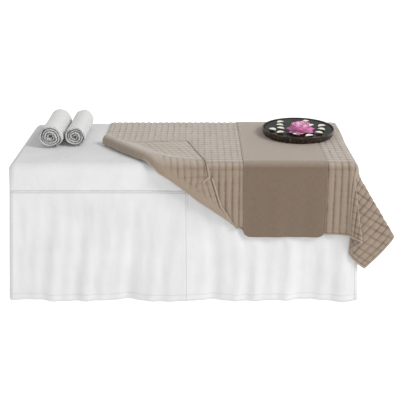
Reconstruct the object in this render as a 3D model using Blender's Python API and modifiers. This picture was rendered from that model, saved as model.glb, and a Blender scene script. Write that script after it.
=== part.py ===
"""A portable massage table that folds in half like a suitcase, dressed for use.

Run it in Blender 4.5: blender --background --python part.py
Metres, +Z up, +X along the table, -Y towards the side that is seen. The floor is z = 0.
"""

import math

import bmesh
import bpy
from mathutils import Matrix, Vector

# ---- Driving dimensions -------------------------------------------------------------------

GAP = 0.0003  # left between pieces that touch

# Bare table, opened out. Lengths along the table are measured from its centre joint.
TABLE_LENGTH = 1.836
TABLE_WIDTH = 0.760
PAD_TOP = 0.795
PAD_THICKNESS = 0.060
PAD_ROUND = 0.018
DECK_THICKNESS = 0.006
FRAME_INSET = 0.010  # how far the frame stays inside the pad's ends
SIDE_INSET = 0.012
RAIL_HEIGHT = 0.0834
RAIL_THICKNESS = 0.018
CENTRE_RAIL_WIDTH = 0.036
CENTRE_CLEARANCE = 0.003  # from the centre joint to each half's frame
SOCKET_RADIUS = 0.0066
SOCKET_Y = 0.100
SOCKET_DROP = 0.064  # below the rails' top face

# Centre hinges
HINGE_DROP = 0.0055  # the fold axis below the rails
HINGE_Y = 0.250
HINGE_LENGTH = 0.100
KNUCKLES = 5
KNUCKLE_RADIUS = 0.0045
KNUCKLE_BORE = 0.0027
HINGE_PIN_RADIUS = 0.0024
LEAF_THICKNESS = 0.0025
LEAF_START = 0.0052
LEAF_END = 0.037

# Legs. Each leg is a forked upper leg with a sliding lower leg between its two slats.
LEG_PIVOT_X = 0.864
LEG_PIVOT_Z = 0.690
LEG_SPLAY = math.radians(4.0)
LEG_Y = {-1: 0.300, 1: 0.248}  # the right pair closes between the left pair
LEG_WIDTH = 0.045
SLAT_THICKNESS = 0.012
LOWER_THICKNESS = 0.020
LOWER_WIDTH = 0.042
UPPER_REACH = 0.360  # below the pivot
FORK_START = 0.060
LOWER_START = 0.260
CLAMP_REACH = 0.310
HEIGHT_TRAVEL = 0.190
AXLE_RADIUS = 0.005
STUD_RADIUS = 0.004
KNOB_RADIUS = 0.020
KNOB_THICKNESS = 0.018
STUD_PROUD = 0.0025
STRETCHER_REACH = 0.220
FOOT_HEIGHT = 0.020
FOOT_SIZE = (0.048, 0.034)

# Catches and carrying handles
CATCH_Y = 0.280
CATCH_PIVOT_Z = 0.672
CATCH_REACH = 0.058
CATCH_THICKNESS = 0.003
HANDLE_X = 0.450
HANDLE_Z = 0.686
HANDLE_LENGTH = 0.140
HANDLE_DEPTH = 0.0185
HANDLE_STRAP = 0.005

# White fitted cover with its six skirt panels
COVER_LENGTH = 1.870
COVER_WIDTH = 0.790
COVER_TOP = 0.800
COVER_THICKNESS = 0.003
COVER_ROUND = 0.014
SKIRT_SEAM = 0.650
SKIRT_HEM = 0.012
SKIRT_FLARE = 0.040

# Quilt: it covers the right-hand three quarters, with its front left corner turned back
QUILT_THICKNESS = 0.010
QUILT_LEFT = -0.465
QUILT_SIDE_DROP = 0.400
QUILT_END_DROP = 0.420
CLOTH_LEAN = math.radians(2.4)  # how the hanging sides follow the flared skirt
FLAP_THICKNESS = 0.018
EAR_REACH = 1.138  # furthest point of the hanging corner from the centre joint
EAR_Y = 0.400
EAR_Z = 0.405
CORNER_TIP = (0.985, 0.455, 0.218)
CORNER_RIDGE = (1.000, 0.462, 0.371)

# Runner across the quilt
RUNNER_LEFT = 0.322
RUNNER_RIGHT = 0.768
RUNNER_DROP = 0.424
RUNNER_THICKNESS = 0.002
RUNNER_CORNER = 0.030

# Rolled towels: (centre x, radius, front end, length)
TOWELS = {
    "rolled_towel_left": (-0.752, 0.070, -0.118, 0.380),
    "rolled_towel_right": (-0.618, 0.0625, -0.086, 0.385),
}

# Flower dish
DISH_X = 0.671
DISH_Y = 0.125
DISH_RADIUS = 0.211
DISH_HEIGHT = 0.041
DISH_WALL = 0.009
WATER_DEPTH = 0.028
LOTUS_X = 0.680
LOTUS_Y = 0.050
LOTUS_RADIUS = 0.082
LOTUS_HEIGHT = 0.062

# ---- Sizes that follow --------------------------------------------------------------------

# The origin is the middle of the whole outline, and the quilt hangs out at the right only.
TABLE_X = (COVER_LENGTH / 2 + SKIRT_FLARE - EAR_REACH) / 2
PAD_BOTTOM = PAD_TOP - PAD_THICKNESS
DECK_BOTTOM = PAD_BOTTOM - GAP - DECK_THICKNESS
RAIL_TOP = DECK_BOTTOM - GAP
RAIL_BOTTOM = RAIL_TOP - RAIL_HEIGHT
HINGE_Z = RAIL_BOTTOM - HINGE_DROP
FRAME_END = TABLE_LENGTH / 2 - FRAME_INSET
FRAME_SIDE = TABLE_WIDTH / 2 - SIDE_INSET
RAIL_INNER = FRAME_SIDE - RAIL_THICKNESS
FORK_HALF = LOWER_THICKNESS / 2 + GAP + SLAT_THICKNESS
QUILT_BOTTOM = COVER_TOP + GAP
QUILT_TOP = QUILT_BOTTOM + QUILT_THICKNESS
QUILT_EDGE_X = COVER_LENGTH / 2 + 0.001  # inner face of the quilt where it turns down
QUILT_EDGE_Y = COVER_WIDTH / 2 + 0.001
# A leaning edge stays below the top.
QUILT_TURN_Z = QUILT_TOP - 1.2 * QUILT_THICKNESS * math.sin(CLOTH_LEAN)
RUNNER_BOTTOM = QUILT_TOP + GAP
RUNNER_TOP = RUNNER_BOTTOM + RUNNER_THICKNESS
DISH_BOTTOM = RUNNER_TOP + GAP
WATER_BOTTOM = DISH_BOTTOM + DISH_WALL + GAP
WATER_TOP = WATER_BOTTOM + WATER_DEPTH

SIDE_NAME = {-1: "left", 1: "right"}
FACE_NAME = {-1: "front", 1: "rear"}

MATERIALS = {
    # name: (colour, roughness, metallic)
    "beech": ((0.62, 0.42, 0.24), 0.45, 0.0),
    "plywood": ((0.66, 0.50, 0.33), 0.55, 0.0),
    "pad_vinyl": ((0.16, 0.10, 0.07), 0.45, 0.0),
    "steel": ((0.55, 0.55, 0.56), 0.32, 1.0),
    "black_rubber": ((0.03, 0.03, 0.03), 0.80, 0.0),
    "knob_plastic": ((0.04, 0.04, 0.04), 0.50, 0.0),
    "handle_leather": ((0.10, 0.06, 0.04), 0.55, 0.0),
    "white_cotton": ((0.83, 0.83, 0.83), 0.85, 0.0),
    "taupe_quilting": ((0.45, 0.38, 0.32), 0.90, 0.0),
    "brown_linen": ((0.24, 0.17, 0.12), 0.90, 0.0),
    "white_terry": ((0.86, 0.86, 0.85), 0.95, 0.0),
    "dark_marble": ((0.06, 0.05, 0.045), 0.25, 0.0),
    "water": ((0.03, 0.04, 0.035), 0.05, 0.0),
    "pink_petals": ((0.75, 0.20, 0.50), 0.60, 0.0),
}

# ---- Scene and material helpers -----------------------------------------------------------


def clear_scene():
    for obj in list(bpy.data.objects):
        bpy.data.objects.remove(obj, do_unlink=True)


def new_collection(name):
    collection = bpy.data.collections.new(name)
    bpy.context.scene.collection.children.link(collection)
    return collection


clear_scene()
PARTS = new_collection("portable_massage_table")
CUTTERS = new_collection("cutters")
CUTTERS.hide_render = True


def make_material(slot, node):
    """Each piece has a material of its own, so that it can be changed alone."""
    colour, roughness, metallic = MATERIALS[slot]
    material = bpy.data.materials.new(f"{node}_{slot}")
    material.use_nodes = True
    shader = material.node_tree.nodes["Principled BSDF"]
    shader.inputs["Base Color"].default_value = (*colour, 1.0)
    shader.inputs["Roughness"].default_value = roughness
    shader.inputs["Metallic"].default_value = metallic
    return material


def at(x, y, z):
    """A point given from the centre joint, in the part's frame."""
    return Vector((x + TABLE_X, y, z))


def add_object(name, data, slot, parent=None):
    """Puts a piece in the scene. A piece with no slot is a cutter or a guide."""
    obj = bpy.data.objects.new(name, data)
    if slot is None:
        CUTTERS.objects.link(obj)
        obj.hide_render = True
        obj.display_type = "WIRE"
    else:
        PARTS.objects.link(obj)
        data.materials.append(make_material(slot, name))
    obj.parent = parent
    return obj


def from_bmesh(name, form, slot, parent=None):
    mesh = bpy.data.meshes.new(name)
    bmesh.ops.recalc_face_normals(form, faces=form.faces)
    form.to_mesh(mesh)
    form.free()
    return add_object(name, mesh, slot, parent)


def bevel(obj, width, segments=1):
    modifier = obj.modifiers.new("rounded_edges", "BEVEL")
    modifier.width = width
    modifier.segments = segments
    modifier.limit_method = "ANGLE"
    return obj


def smooth(obj, angle=35.0):
    obj.data.shade_smooth()
    obj.data.set_sharp_from_angle(angle=math.radians(angle))
    return obj


def boolean(obj, operation, others):
    for other in others:
        modifier = obj.modifiers.new(f"{operation.lower()}_{other.name}", "BOOLEAN")
        modifier.operation = operation
        modifier.object = other
    return obj


# ---- Basic forms --------------------------------------------------------------------------


def block(name, low, high, slot, parent=None):
    """A box between two corners, in its parent's frame."""
    low, high = Vector(low), Vector(high)
    size = Matrix.Diagonal((*(high - low), 1.0))
    form = bmesh.new()
    bmesh.ops.create_cube(form, size=1.0, matrix=Matrix.Translation((low + high) / 2) @ size)
    return from_bmesh(name, form, slot, parent)


def shaped_block(name, corner, slot, parent=None):
    """A box whose corner (sx, sy, sz), each -1 or +1, is put where the function says."""
    form = bmesh.new()
    bmesh.ops.create_cube(form, size=2.0)
    for vertex in form.verts:
        vertex.co = corner(*(round(value) for value in vertex.co))
    return from_bmesh(name, form, slot, parent)


def rod(name, start, end, radius, slot, segments=20, parent=None):
    """A round bar between two points, in its parent's frame."""
    start, end = Vector(start), Vector(end)
    turn = (end - start).to_track_quat("Z", "Y").to_matrix().to_4x4()
    form = bmesh.new()
    bmesh.ops.create_cone(
        form,
        cap_ends=True,
        segments=segments,
        radius1=radius,
        radius2=radius,
        depth=(end - start).length,
        matrix=Matrix.Translation((start + end) / 2) @ turn,
    )
    return smooth(from_bmesh(name, form, slot, parent))


def hull(name, points, slot, parent=None):
    """The tightest convex solid around some points."""
    form = bmesh.new()
    vertices = [form.verts.new(point) for point in points]
    made = bmesh.ops.convex_hull(form, input=vertices)
    spare = [item for item in made["geom_interior"] if isinstance(item, bmesh.types.BMVert)]
    bmesh.ops.delete(form, geom=spare, context="VERTS")
    return from_bmesh(name, form, slot, parent)


def plate(name, outline, thickness, frame, slot, parent=None):
    """A flat outline given a thickness on the +Z side of a frame, as a closed mesh."""
    curve = bpy.data.curves.new(name, "CURVE")
    curve.dimensions = "2D"
    curve.fill_mode = "BOTH"
    curve.extrude = thickness / 2
    spline = curve.splines.new("POLY")
    spline.points.add(len(outline) - 1)
    for point, (x, y) in zip(spline.points, outline):
        point.co = (x, y, 0.0, 1.0)
    spline.use_cyclic_u = True
    guide = bpy.data.objects.new(name + "_outline", curve)
    CUTTERS.objects.link(guide)
    graph = bpy.context.evaluated_depsgraph_get()
    mesh = bpy.data.meshes.new_from_object(guide.evaluated_get(graph))
    bpy.data.objects.remove(guide, do_unlink=True)
    form = bmesh.new()
    form.from_mesh(mesh)
    bpy.data.meshes.remove(mesh)
    bmesh.ops.remove_doubles(form, verts=form.verts, dist=1e-6)
    form.transform(frame @ Matrix.Translation((0.0, 0.0, thickness / 2)))
    return from_bmesh(name, form, slot, parent)


def turned(name, profile, slot, segments, place):
    """A profile of (radius, height) points turned about a vertical axis."""
    mesh = bpy.data.meshes.new(name)
    points = [(radius, 0.0, height) for radius, height in profile]
    edges = [(i, i + 1) for i in range(len(points) - 1)]
    mesh.from_pydata(points, edges, [])
    obj = add_object(name, mesh, slot)
    obj.location = place
    screw = obj.modifiers.new("turn", "SCREW")
    screw.steps = segments
    screw.render_steps = segments
    screw.use_merge_vertices = True
    screw.merge_threshold = 0.00005
    screw.use_smooth_shade = True
    return obj


def empty(name, place, turn=0.0, parent=None):
    """A joint's place: what turns on it is parented to it. The turn is about +Y."""
    obj = bpy.data.objects.new(name, None)
    PARTS.objects.link(obj)
    obj.location = place
    obj.rotation_euler = (0.0, turn, 0.0)
    obj.parent = parent
    return obj


def ordered(a, b):
    return (a, b) if a < b else (b, a)


# ---- Frame, deck and pad of one half ------------------------------------------------------


def half_block(name, side, x, y, z, slot, fold):
    """A block of one half. Its x runs outwards from the centre joint, and is mirrored at the left."""
    low_x, high_x = ordered(side * x[0], side * x[1])
    shift = Vector((0.0, 0.0, HINGE_Z)) if fold else -at(0.0, 0.0, 0.0)
    low = Vector((low_x, y[0], z[0])) - shift
    high = Vector((high_x, y[1], z[1])) - shift
    return block(name, low, high, slot, fold)


def build_frame(side, fold):
    half = SIDE_NAME[side]
    height = (RAIL_BOTTOM, RAIL_TOP)
    across = RAIL_INNER - GAP
    for face in (-1, 1):
        name = f"{half}_side_rail_{FACE_NAME[face]}"
        y = ordered(face * RAIL_INNER, face * FRAME_SIDE)
        rail = half_block(name, side, (CENTRE_CLEARANCE, FRAME_END), y, height, "beech", fold)
        bevel(rail, 0.0015)
    ends = {
        "end_rail": (FRAME_END - RAIL_THICKNESS, FRAME_END),
        "centre_rail": (CENTRE_CLEARANCE, CENTRE_CLEARANCE + CENTRE_RAIL_WIDTH),
    }
    made = {}
    for kind, x in ends.items():
        rail = half_block(f"{half}_{kind}", side, x, (-across, across), height, "beech", fold)
        made[kind] = bevel(rail, 0.0015)
    cut_sockets(made["end_rail"], side, fold)
    deck_height = (DECK_BOTTOM, DECK_BOTTOM + DECK_THICKNESS)
    deck_side = (-FRAME_SIDE, FRAME_SIDE)
    half_block(f"{half}_deck", side, (CENTRE_CLEARANCE, FRAME_END), deck_side, deck_height, "plywood", fold)


def cut_sockets(rail, side, fold):
    """Two round sockets through an end rail, for the rods of a face cradle."""
    shift = Vector((0.0, 0.0, HINGE_Z)) if fold else -at(0.0, 0.0, 0.0)
    cutters = []
    for face in (-1, 1):
        z = RAIL_TOP - SOCKET_DROP
        start = Vector((side * (FRAME_END - 0.030), face * SOCKET_Y, z)) - shift
        end = Vector((side * (FRAME_END + 0.010), face * SOCKET_Y, z)) - shift
        name = f"{rail.name}_socket_{FACE_NAME[face]}"
        cutters.append(rod(name, start, end, SOCKET_RADIUS, None, 24, fold))
    boolean(rail, "DIFFERENCE", cutters)


def build_pad(side, fold):
    x = (CENTRE_CLEARANCE - 0.001, TABLE_LENGTH / 2)
    y = (-TABLE_WIDTH / 2, TABLE_WIDTH / 2)
    name = f"{SIDE_NAME[side]}_pad"
    pad = half_block(name, side, x, y, (PAD_BOTTOM, PAD_TOP), "pad_vinyl", fold)
    smooth(bevel(pad, PAD_ROUND, 3), 60.0)


# ---- Centre hinges ------------------------------------------------------------------------


def build_hinge_leaf(side, face, fold):
    """A plate under the centre rail, with every other knuckle of the barrel."""
    shift = Vector((0.0, 0.0, HINGE_Z)) if fold else -at(0.0, 0.0, 0.0)
    top = RAIL_BOTTOM - GAP
    bottom = top - LEAF_THICKNESS
    middle = face * HINGE_Y
    name = f"hinge_leaf_{SIDE_NAME[side]}_{FACE_NAME[face]}"
    y = (middle - HINGE_LENGTH / 2, middle + HINGE_LENGTH / 2)
    leaf = half_block(name, side, (LEAF_START, LEAF_END), y, (bottom, top), "steel", fold)
    pitch = HINGE_LENGTH / KNUCKLES
    first = 0 if side < 0 else 1
    joined = []
    for index in range(first, KNUCKLES, 2):
        start = y[0] + index * pitch + GAP
        end = y[0] + (index + 1) * pitch - GAP
        low, high = Vector((0.0, start, HINGE_Z)) - shift, Vector((0.0, end, HINGE_Z)) - shift
        joined.append(rod(f"{name}_knuckle_{index}", low, high, KNUCKLE_RADIUS, None, 20, fold))
        web_x, web_z = (0.0, LEAF_START + 0.004), (bottom + 0.0004, top)
        joined.append(half_block(f"{name}_web_{index}", side, web_x, (start, end), web_z, None, fold))
    boolean(leaf, "UNION", joined)
    reach = HINGE_LENGTH / 2 + 0.010
    low = Vector((0.0, middle - reach, HINGE_Z)) - shift
    high = Vector((0.0, middle + reach, HINGE_Z)) - shift
    boolean(leaf, "DIFFERENCE", [rod(f"{name}_bore", low, high, KNUCKLE_BORE, None, 20, fold)])


def build_hinge_pin(face):
    reach = HINGE_LENGTH / 2 + 0.002
    start = at(0.0, face * HINGE_Y - reach, HINGE_Z)
    end = at(0.0, face * HINGE_Y + reach, HINGE_Z)
    rod(f"hinge_pin_{FACE_NAME[face]}", start, end, HINGE_PIN_RADIUS, "steel")


# ---- Legs ---------------------------------------------------------------------------------


def pivot_point(side):
    return Vector((side * LEG_PIVOT_X, 0.0, LEG_PIVOT_Z))


def build_leg_axle(side, fold):
    shift = Vector((0.0, 0.0, HINGE_Z)) if fold else -at(0.0, 0.0, 0.0)
    reach = Vector((0.0, RAIL_INNER - GAP, 0.0))
    centre = pivot_point(side) - shift
    rod(f"{SIDE_NAME[side]}_leg_axle", centre - reach, centre + reach, AXLE_RADIUS, "steel", 20, fold)


def build_leg_fold(side, fold):
    """The pivot of a leg pair. Down the leg is -Z in its frame."""
    place = pivot_point(side) - Vector((0.0, 0.0, HINGE_Z)) if fold else at(*pivot_point(side))
    return empty(f"{SIDE_NAME[side]}_leg_fold", place, -side * LEG_SPLAY, fold)


def build_upper_leg(side, face, pivot):
    """Two slats joined at a round head that turns on the axle."""
    name = f"{SIDE_NAME[side]}_{FACE_NAME[face]}_upper_leg"
    y = face * LEG_Y[side]
    half = LEG_WIDTH / 2
    leg = block(name, (-half, y - FORK_HALF, -UPPER_REACH), (half, y + FORK_HALF, 0.0), "beech", pivot)
    head = rod(f"{name}_head", (0.0, y - FORK_HALF, 0.0), (0.0, y + FORK_HALF, 0.0), half, None, 32, pivot)
    fork = LOWER_THICKNESS / 2 + GAP
    slot_low = (-0.03, y - fork, -UPPER_REACH - 0.01)
    slot = block(f"{name}_fork", slot_low, (0.03, y + fork, -FORK_START), None, pivot)
    axle_hole = rod(
        f"{name}_axle_hole", (0.0, y - 0.03, 0.0), (0.0, y + 0.03, 0.0), AXLE_RADIUS + 0.0004, None, 20, pivot
    )
    stud_hole = rod(
        f"{name}_stud_hole",
        (0.0, y - 0.03, -CLAMP_REACH),
        (0.0, y + 0.03, -CLAMP_REACH),
        STUD_RADIUS + 0.0004,
        None,
        16,
        pivot,
    )
    boolean(leg, "UNION", [head])
    boolean(leg, "DIFFERENCE", [slot, axle_hole, stud_hole])


def build_lower_leg(side, face, pivot):
    """A single slat with a long slot for the clamping stud, cut level at its lower end."""
    name = f"{SIDE_NAME[side]}_{FACE_NAME[face]}_lower_leg"
    y = face * LEG_Y[side]
    half = LOWER_WIDTH / 2

    def corner(sx, sy, sz):
        if sz > 0:
            return Vector((sx * half, y + sy * LOWER_THICKNESS / 2, -LOWER_START))
        level = FOOT_HEIGHT + GAP
        z = (level - LEG_PIVOT_Z - side * math.sin(LEG_SPLAY) * sx * half) / math.cos(LEG_SPLAY)
        return Vector((sx * half, y + sy * LOWER_THICKNESS / 2, z))

    leg = bevel(shaped_block(name, corner, "beech", pivot), 0.0015)
    radius = STUD_RADIUS + 0.0006
    top = -CLAMP_REACH + STUD_RADIUS + 0.001
    bottom = -CLAMP_REACH - HEIGHT_TRAVEL - STUD_RADIUS - 0.001
    slot = block(f"{name}_slot", (-radius, y - 0.02, bottom), (radius, y + 0.02, top), None, pivot)
    boolean(leg, "DIFFERENCE", [slot])


def build_foot(side, face, pivot):
    """A rubber foot with a level sole, at the end of a leg that leans."""
    name = f"{SIDE_NAME[side]}_{FACE_NAME[face]}_foot"
    drop = LEG_PIVOT_Z - FOOT_HEIGHT / 2
    centre_x = side * drop * math.tan(LEG_SPLAY)
    turn_back = Matrix.Rotation(side * LEG_SPLAY, 3, "Y")

    def corner(sx, sy, sz):
        level = Vector(
            (
                centre_x + sx * FOOT_SIZE[0] / 2,
                face * LEG_Y[side] + sy * FOOT_SIZE[1] / 2,
                (FOOT_HEIGHT if sz > 0 else 0.0) - LEG_PIVOT_Z,
            )
        )
        return turn_back @ level

    bevel(shaped_block(name, corner, "black_rubber", pivot), 0.002)


def build_knob(side, face, pivot):
    """A clamping knob: outside the left legs and inside the right ones, so that they can nest."""
    name = f"{SIDE_NAME[side]}_{FACE_NAME[face]}_knob"
    outwards = -side * face
    centre = Vector((0.0, face * LEG_Y[side], -CLAMP_REACH))
    away = Vector((0.0, outwards, 0.0))
    base = centre + away * (FORK_HALF + GAP)
    knob = rod(name, base, base + away * KNOB_THICKNESS, KNOB_RADIUS, "knob_plastic", 12, pivot)
    tip = centre - away * (FORK_HALF + STUD_PROUD)
    boolean(knob, "UNION", [rod(f"{name}_stud", base + away * 0.006, tip, STUD_RADIUS, None, 16, pivot)])


def build_stretcher(side, pivot):
    reach = LEG_Y[side] - FORK_HALF - GAP
    low = (-0.010, -reach, -STRETCHER_REACH - 0.020)
    high = (0.010, reach, -STRETCHER_REACH + 0.020)
    bevel(block(f"{SIDE_NAME[side]}_leg_stretcher", low, high, "beech", pivot), 0.002)


def build_legs(side, fold):
    build_leg_axle(side, fold)
    pivot = build_leg_fold(side, fold)
    for face in (-1, 1):
        build_upper_leg(side, face, pivot)
        build_lower_leg(side, face, pivot)
        build_foot(side, face, pivot)
        build_knob(side, face, pivot)
    build_stretcher(side, pivot)


# ---- Catches and handles ------------------------------------------------------------------


def build_catch_hook(face):
    """A flat hook, stowed level. It turns down by a quarter turn to catch the other half's stud."""
    start = -FRAME_END - 0.0015
    frame = at(start, face * CATCH_Y, CATCH_PIVOT_Z)
    width = 0.0075
    notch = 0.0042
    mouth = CATCH_REACH - notch
    back = CATCH_REACH + notch
    end = CATCH_REACH + 0.011
    # Along the hook, then across it. The notch opens on the side that leads as the hook turns down.
    outline = [
        (-width, -width),
        (mouth, -width),
        (mouth, notch),
        (back, notch),
        (back, -width),
        (end, -width),
        (end, width + notch),
        (-width, width),
    ]
    # The hook points towards the middle of the end rail.
    along = Vector((0.0, -face, 0.0))
    across = Vector((0.0, 0.0, 1.0))
    out = Vector((-1.0, 0.0, 0.0))
    turn = Matrix((along, across, out)).transposed().to_4x4()
    hook = plate(f"catch_hook_{FACE_NAME[face]}", outline, CATCH_THICKNESS, turn, "steel")
    hook.location = frame
    hole = rod(f"catch_hook_{FACE_NAME[face]}_hole", (-0.02, 0, 0), (0.02, 0, 0), 0.0034, None, 20, hook)
    boolean(hook, "DIFFERENCE", [hole])


def build_catch_screw(face):
    """The screw that a hook turns on: a shank through the hook, and a round head outside it."""
    inner = at(-FRAME_END - GAP, face * CATCH_Y, CATCH_PIVOT_Z)
    out = Vector((-1.0, 0.0, 0.0))
    shank_end = inner + out * (0.0012 + CATCH_THICKNESS + 0.0006)
    screw = rod(f"catch_screw_{FACE_NAME[face]}", inner, shank_end + out * 0.001, 0.003, "steel")
    head = rod(f"catch_screw_{FACE_NAME[face]}_head", shank_end, shank_end + out * 0.003, 0.0065, None)
    boolean(screw, "UNION", [head])


def build_catch_stud(face, fold):
    """A headed stud on the right end rail. Closing the table brings it beneath the hook's screw."""
    name = f"catch_stud_{FACE_NAME[face]}"
    closed_z = CATCH_PIVOT_Z - CATCH_REACH
    z = HINGE_Z - closed_z
    inner = Vector((FRAME_END + GAP, face * CATCH_Y, z))
    out = Vector((1.0, 0.0, 0.0))
    stud = rod(name, inner, inner + out * 0.008, 0.003, "steel", 20, fold)
    head_start = inner + out * 0.0064
    head = rod(f"{name}_head", head_start, head_start + out * 0.0026, 0.0055, None, 20, fold)
    boolean(stud, "UNION", [head])


def build_handle(side, fold):
    """A stiff carrying strap on a front side rail, with room for fingers behind it."""
    reach = HANDLE_LENGTH / 2
    foot = 0.018
    outline = [
        (-reach, 0.0),
        (-reach + 0.008, HANDLE_DEPTH),
        (reach - 0.008, HANDLE_DEPTH),
        (reach, 0.0),
        (reach - foot, 0.0),
        (reach - foot - 0.006, HANDLE_DEPTH - HANDLE_STRAP),
        (-reach + foot + 0.006, HANDLE_DEPTH - HANDLE_STRAP),
        (-reach + foot, 0.0),
    ]
    turn = Matrix(((1, 0, 0), (0, -1, 0), (0, 0, -1))).to_4x4()
    name = f"{SIDE_NAME[side]}_carry_handle"
    centre = Vector((side * HANDLE_X, -FRAME_SIDE - GAP, HANDLE_Z + 0.011))
    place = centre - Vector((0.0, 0.0, HINGE_Z)) if fold else at(*centre)
    plate(name, outline, 0.022, Matrix.Translation(place) @ turn, "handle_leather", fold)


# ---- White cover --------------------------------------------------------------------------


def build_cover_cap():
    """The fitted top: an open box that drops over the pad, with rounded edges."""
    half_x, half_y = COVER_LENGTH / 2, COVER_WIDTH / 2
    form = bmesh.new()
    size = Matrix.Diagonal((COVER_LENGTH, COVER_WIDTH, COVER_TOP - SKIRT_SEAM, 1.0))
    middle = Matrix.Translation(at(0.0, 0.0, (COVER_TOP + SKIRT_SEAM) / 2))
    bmesh.ops.create_cube(form, size=1.0, matrix=middle @ size)
    low = [face for face in form.faces if face.normal.z < -0.5]
    bmesh.ops.delete(form, geom=low, context="FACES_ONLY")
    rounded = [edge for edge in form.edges if len(edge.link_faces) == 2]
    bmesh.ops.bevel(form, geom=rounded, offset=COVER_ROUND, segments=3, profile=0.5, affect="EDGES")
    cap = from_bmesh("cover_cap", form, "white_cotton")
    shell = cap.modifiers.new("cloth", "SOLIDIFY")
    shell.thickness = COVER_THICKNESS
    shell.offset = -1.0
    shell.use_even_offset = True
    smooth(cap, 50.0)


def skirt_flare(z):
    """How far the skirt stands out beyond the cap at a height."""
    return SKIRT_FLARE * (SKIRT_SEAM - z) / (SKIRT_SEAM - SKIRT_HEM)


def build_side_skirt(side, face):
    """Half of a long side: it meets its twin at the centre split."""

    def corner(sx, sy, sz):
        z = SKIRT_SEAM - GAP if sz > 0 else SKIRT_HEM
        outer = COVER_LENGTH / 2 + skirt_flare(z)
        x = outer if sx * side > 0 else GAP
        y = COVER_WIDTH / 2 + skirt_flare(z) - (0.0 if sy * face > 0 else COVER_THICKNESS)
        return at(side * x, face * y, z)

    shaped_block(f"skirt_{FACE_NAME[face]}_{SIDE_NAME[side]}", corner, "white_cotton")


def build_end_skirt(side):
    """An end panel, between the long sides."""

    def corner(sx, sy, sz):
        z = SKIRT_SEAM - GAP if sz > 0 else SKIRT_HEM
        x = COVER_LENGTH / 2 + skirt_flare(z) - (0.0 if sx * side > 0 else COVER_THICKNESS)
        y = COVER_WIDTH / 2 + skirt_flare(z) - COVER_THICKNESS - 2 * GAP
        return at(side * x, sy * y, z)

    shaped_block(f"skirt_{SIDE_NAME[side]}_end", corner, "white_cotton")


# ---- Quilt and runner ---------------------------------------------------------------------


def hanging_frame(face, start_z, out):
    """A frame for what hangs on a long side: X along the table, Y up the cloth, Z outwards."""
    y = face * (QUILT_EDGE_Y + out)
    along = Vector((-face, 0.0, 0.0))
    up = Vector((0.0, -face * math.sin(CLOTH_LEAN), math.cos(CLOTH_LEAN)))
    turn = Matrix((along, up, along.cross(up))).transposed().to_4x4()
    return Matrix.Translation(at(0.0, y, start_z)) @ turn


def build_quilt():
    """One quilt: a top, hanging sides, an end with two draped corners, and the turned-back corner."""
    edge_x = QUILT_EDGE_X + QUILT_THICKNESS
    edge_y = QUILT_EDGE_Y + QUILT_THICKNESS
    flat = Matrix.Translation(at(0.0, 0.0, QUILT_BOTTOM))
    top = [
        (edge_x, edge_y),
        (QUILT_LEFT, edge_y),
        (QUILT_LEFT, -0.052),
        (-0.227, -0.343),
        (-0.170, -edge_y),
        (edge_x, -edge_y),
    ]
    quilt = plate("quilt", top, QUILT_THICKNESS, flat, "taupe_quilting")
    pieces = [build_quilt_front(), build_quilt_rear(edge_x), build_quilt_end(edge_y)]
    pieces += [build_quilt_corner(face) for face in (-1, 1)]
    pieces += build_quilt_flap()
    boolean(quilt, "UNION", pieces)


def build_quilt_front():
    outline = [
        (-0.170, 0.0),
        (-0.170, -0.020),
        (0.294, -0.370),
        (0.294, -QUILT_SIDE_DROP),
        (0.962, -QUILT_SIDE_DROP),
        (0.944, 0.0),
    ]
    frame = hanging_frame(-1, QUILT_TURN_Z, 0.0)
    return plate("quilt_front", outline, QUILT_THICKNESS, frame, None)


def build_quilt_rear(edge_x):
    outline = [
        (-QUILT_LEFT, 0.0),
        (-QUILT_LEFT, -QUILT_SIDE_DROP),
        (-edge_x - 0.012, -QUILT_SIDE_DROP),
        (-edge_x + 0.002, 0.0),
    ]
    frame = hanging_frame(1, QUILT_TURN_Z, 0.0)
    return plate("quilt_rear", outline, QUILT_THICKNESS, frame, None)


def build_quilt_end(edge_y):
    along = Vector((0.0, 1.0, 0.0))
    up = Vector((-math.sin(CLOTH_LEAN), 0.0, math.cos(CLOTH_LEAN)))
    turn = Matrix((along, up, along.cross(up))).transposed().to_4x4()
    frame = Matrix.Translation(at(QUILT_EDGE_X, 0.0, QUILT_TURN_Z)) @ turn
    half = edge_y - 0.002
    low = half + 0.012
    outline = [(half, 0.0), (-half, 0.0), (-low, -QUILT_END_DROP), (low, -QUILT_END_DROP)]
    return plate("quilt_end", outline, QUILT_THICKNESS, frame, None)


def build_quilt_corner(face):
    """The corner hangs free from the table's corner, as a cone that stands out to an ear."""
    ridge_x, ridge_y, ridge_z = CORNER_RIDGE
    tip_x, tip_y, tip_z = CORNER_TIP
    points = [
        (0.9445, 0.4045, QUILT_TOP - 0.001),
        (0.9450, 0.3980, 0.795),
        (0.9380, 0.4050, 0.795),
        (0.9560, 0.4160, 0.400),
        (0.9660, 0.4260, tip_z),
        (ridge_x, ridge_y, ridge_z),
        (tip_x, tip_y, tip_z),
        (EAR_REACH, EAR_Y, EAR_Z),
        (EAR_REACH - 0.030, EAR_Y - 0.030, EAR_Z + 0.010),
    ]
    placed = [at(x, face * y, z) for x, y, z in points]
    return hull(f"quilt_corner_{FACE_NAME[face]}", placed, None)


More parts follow.
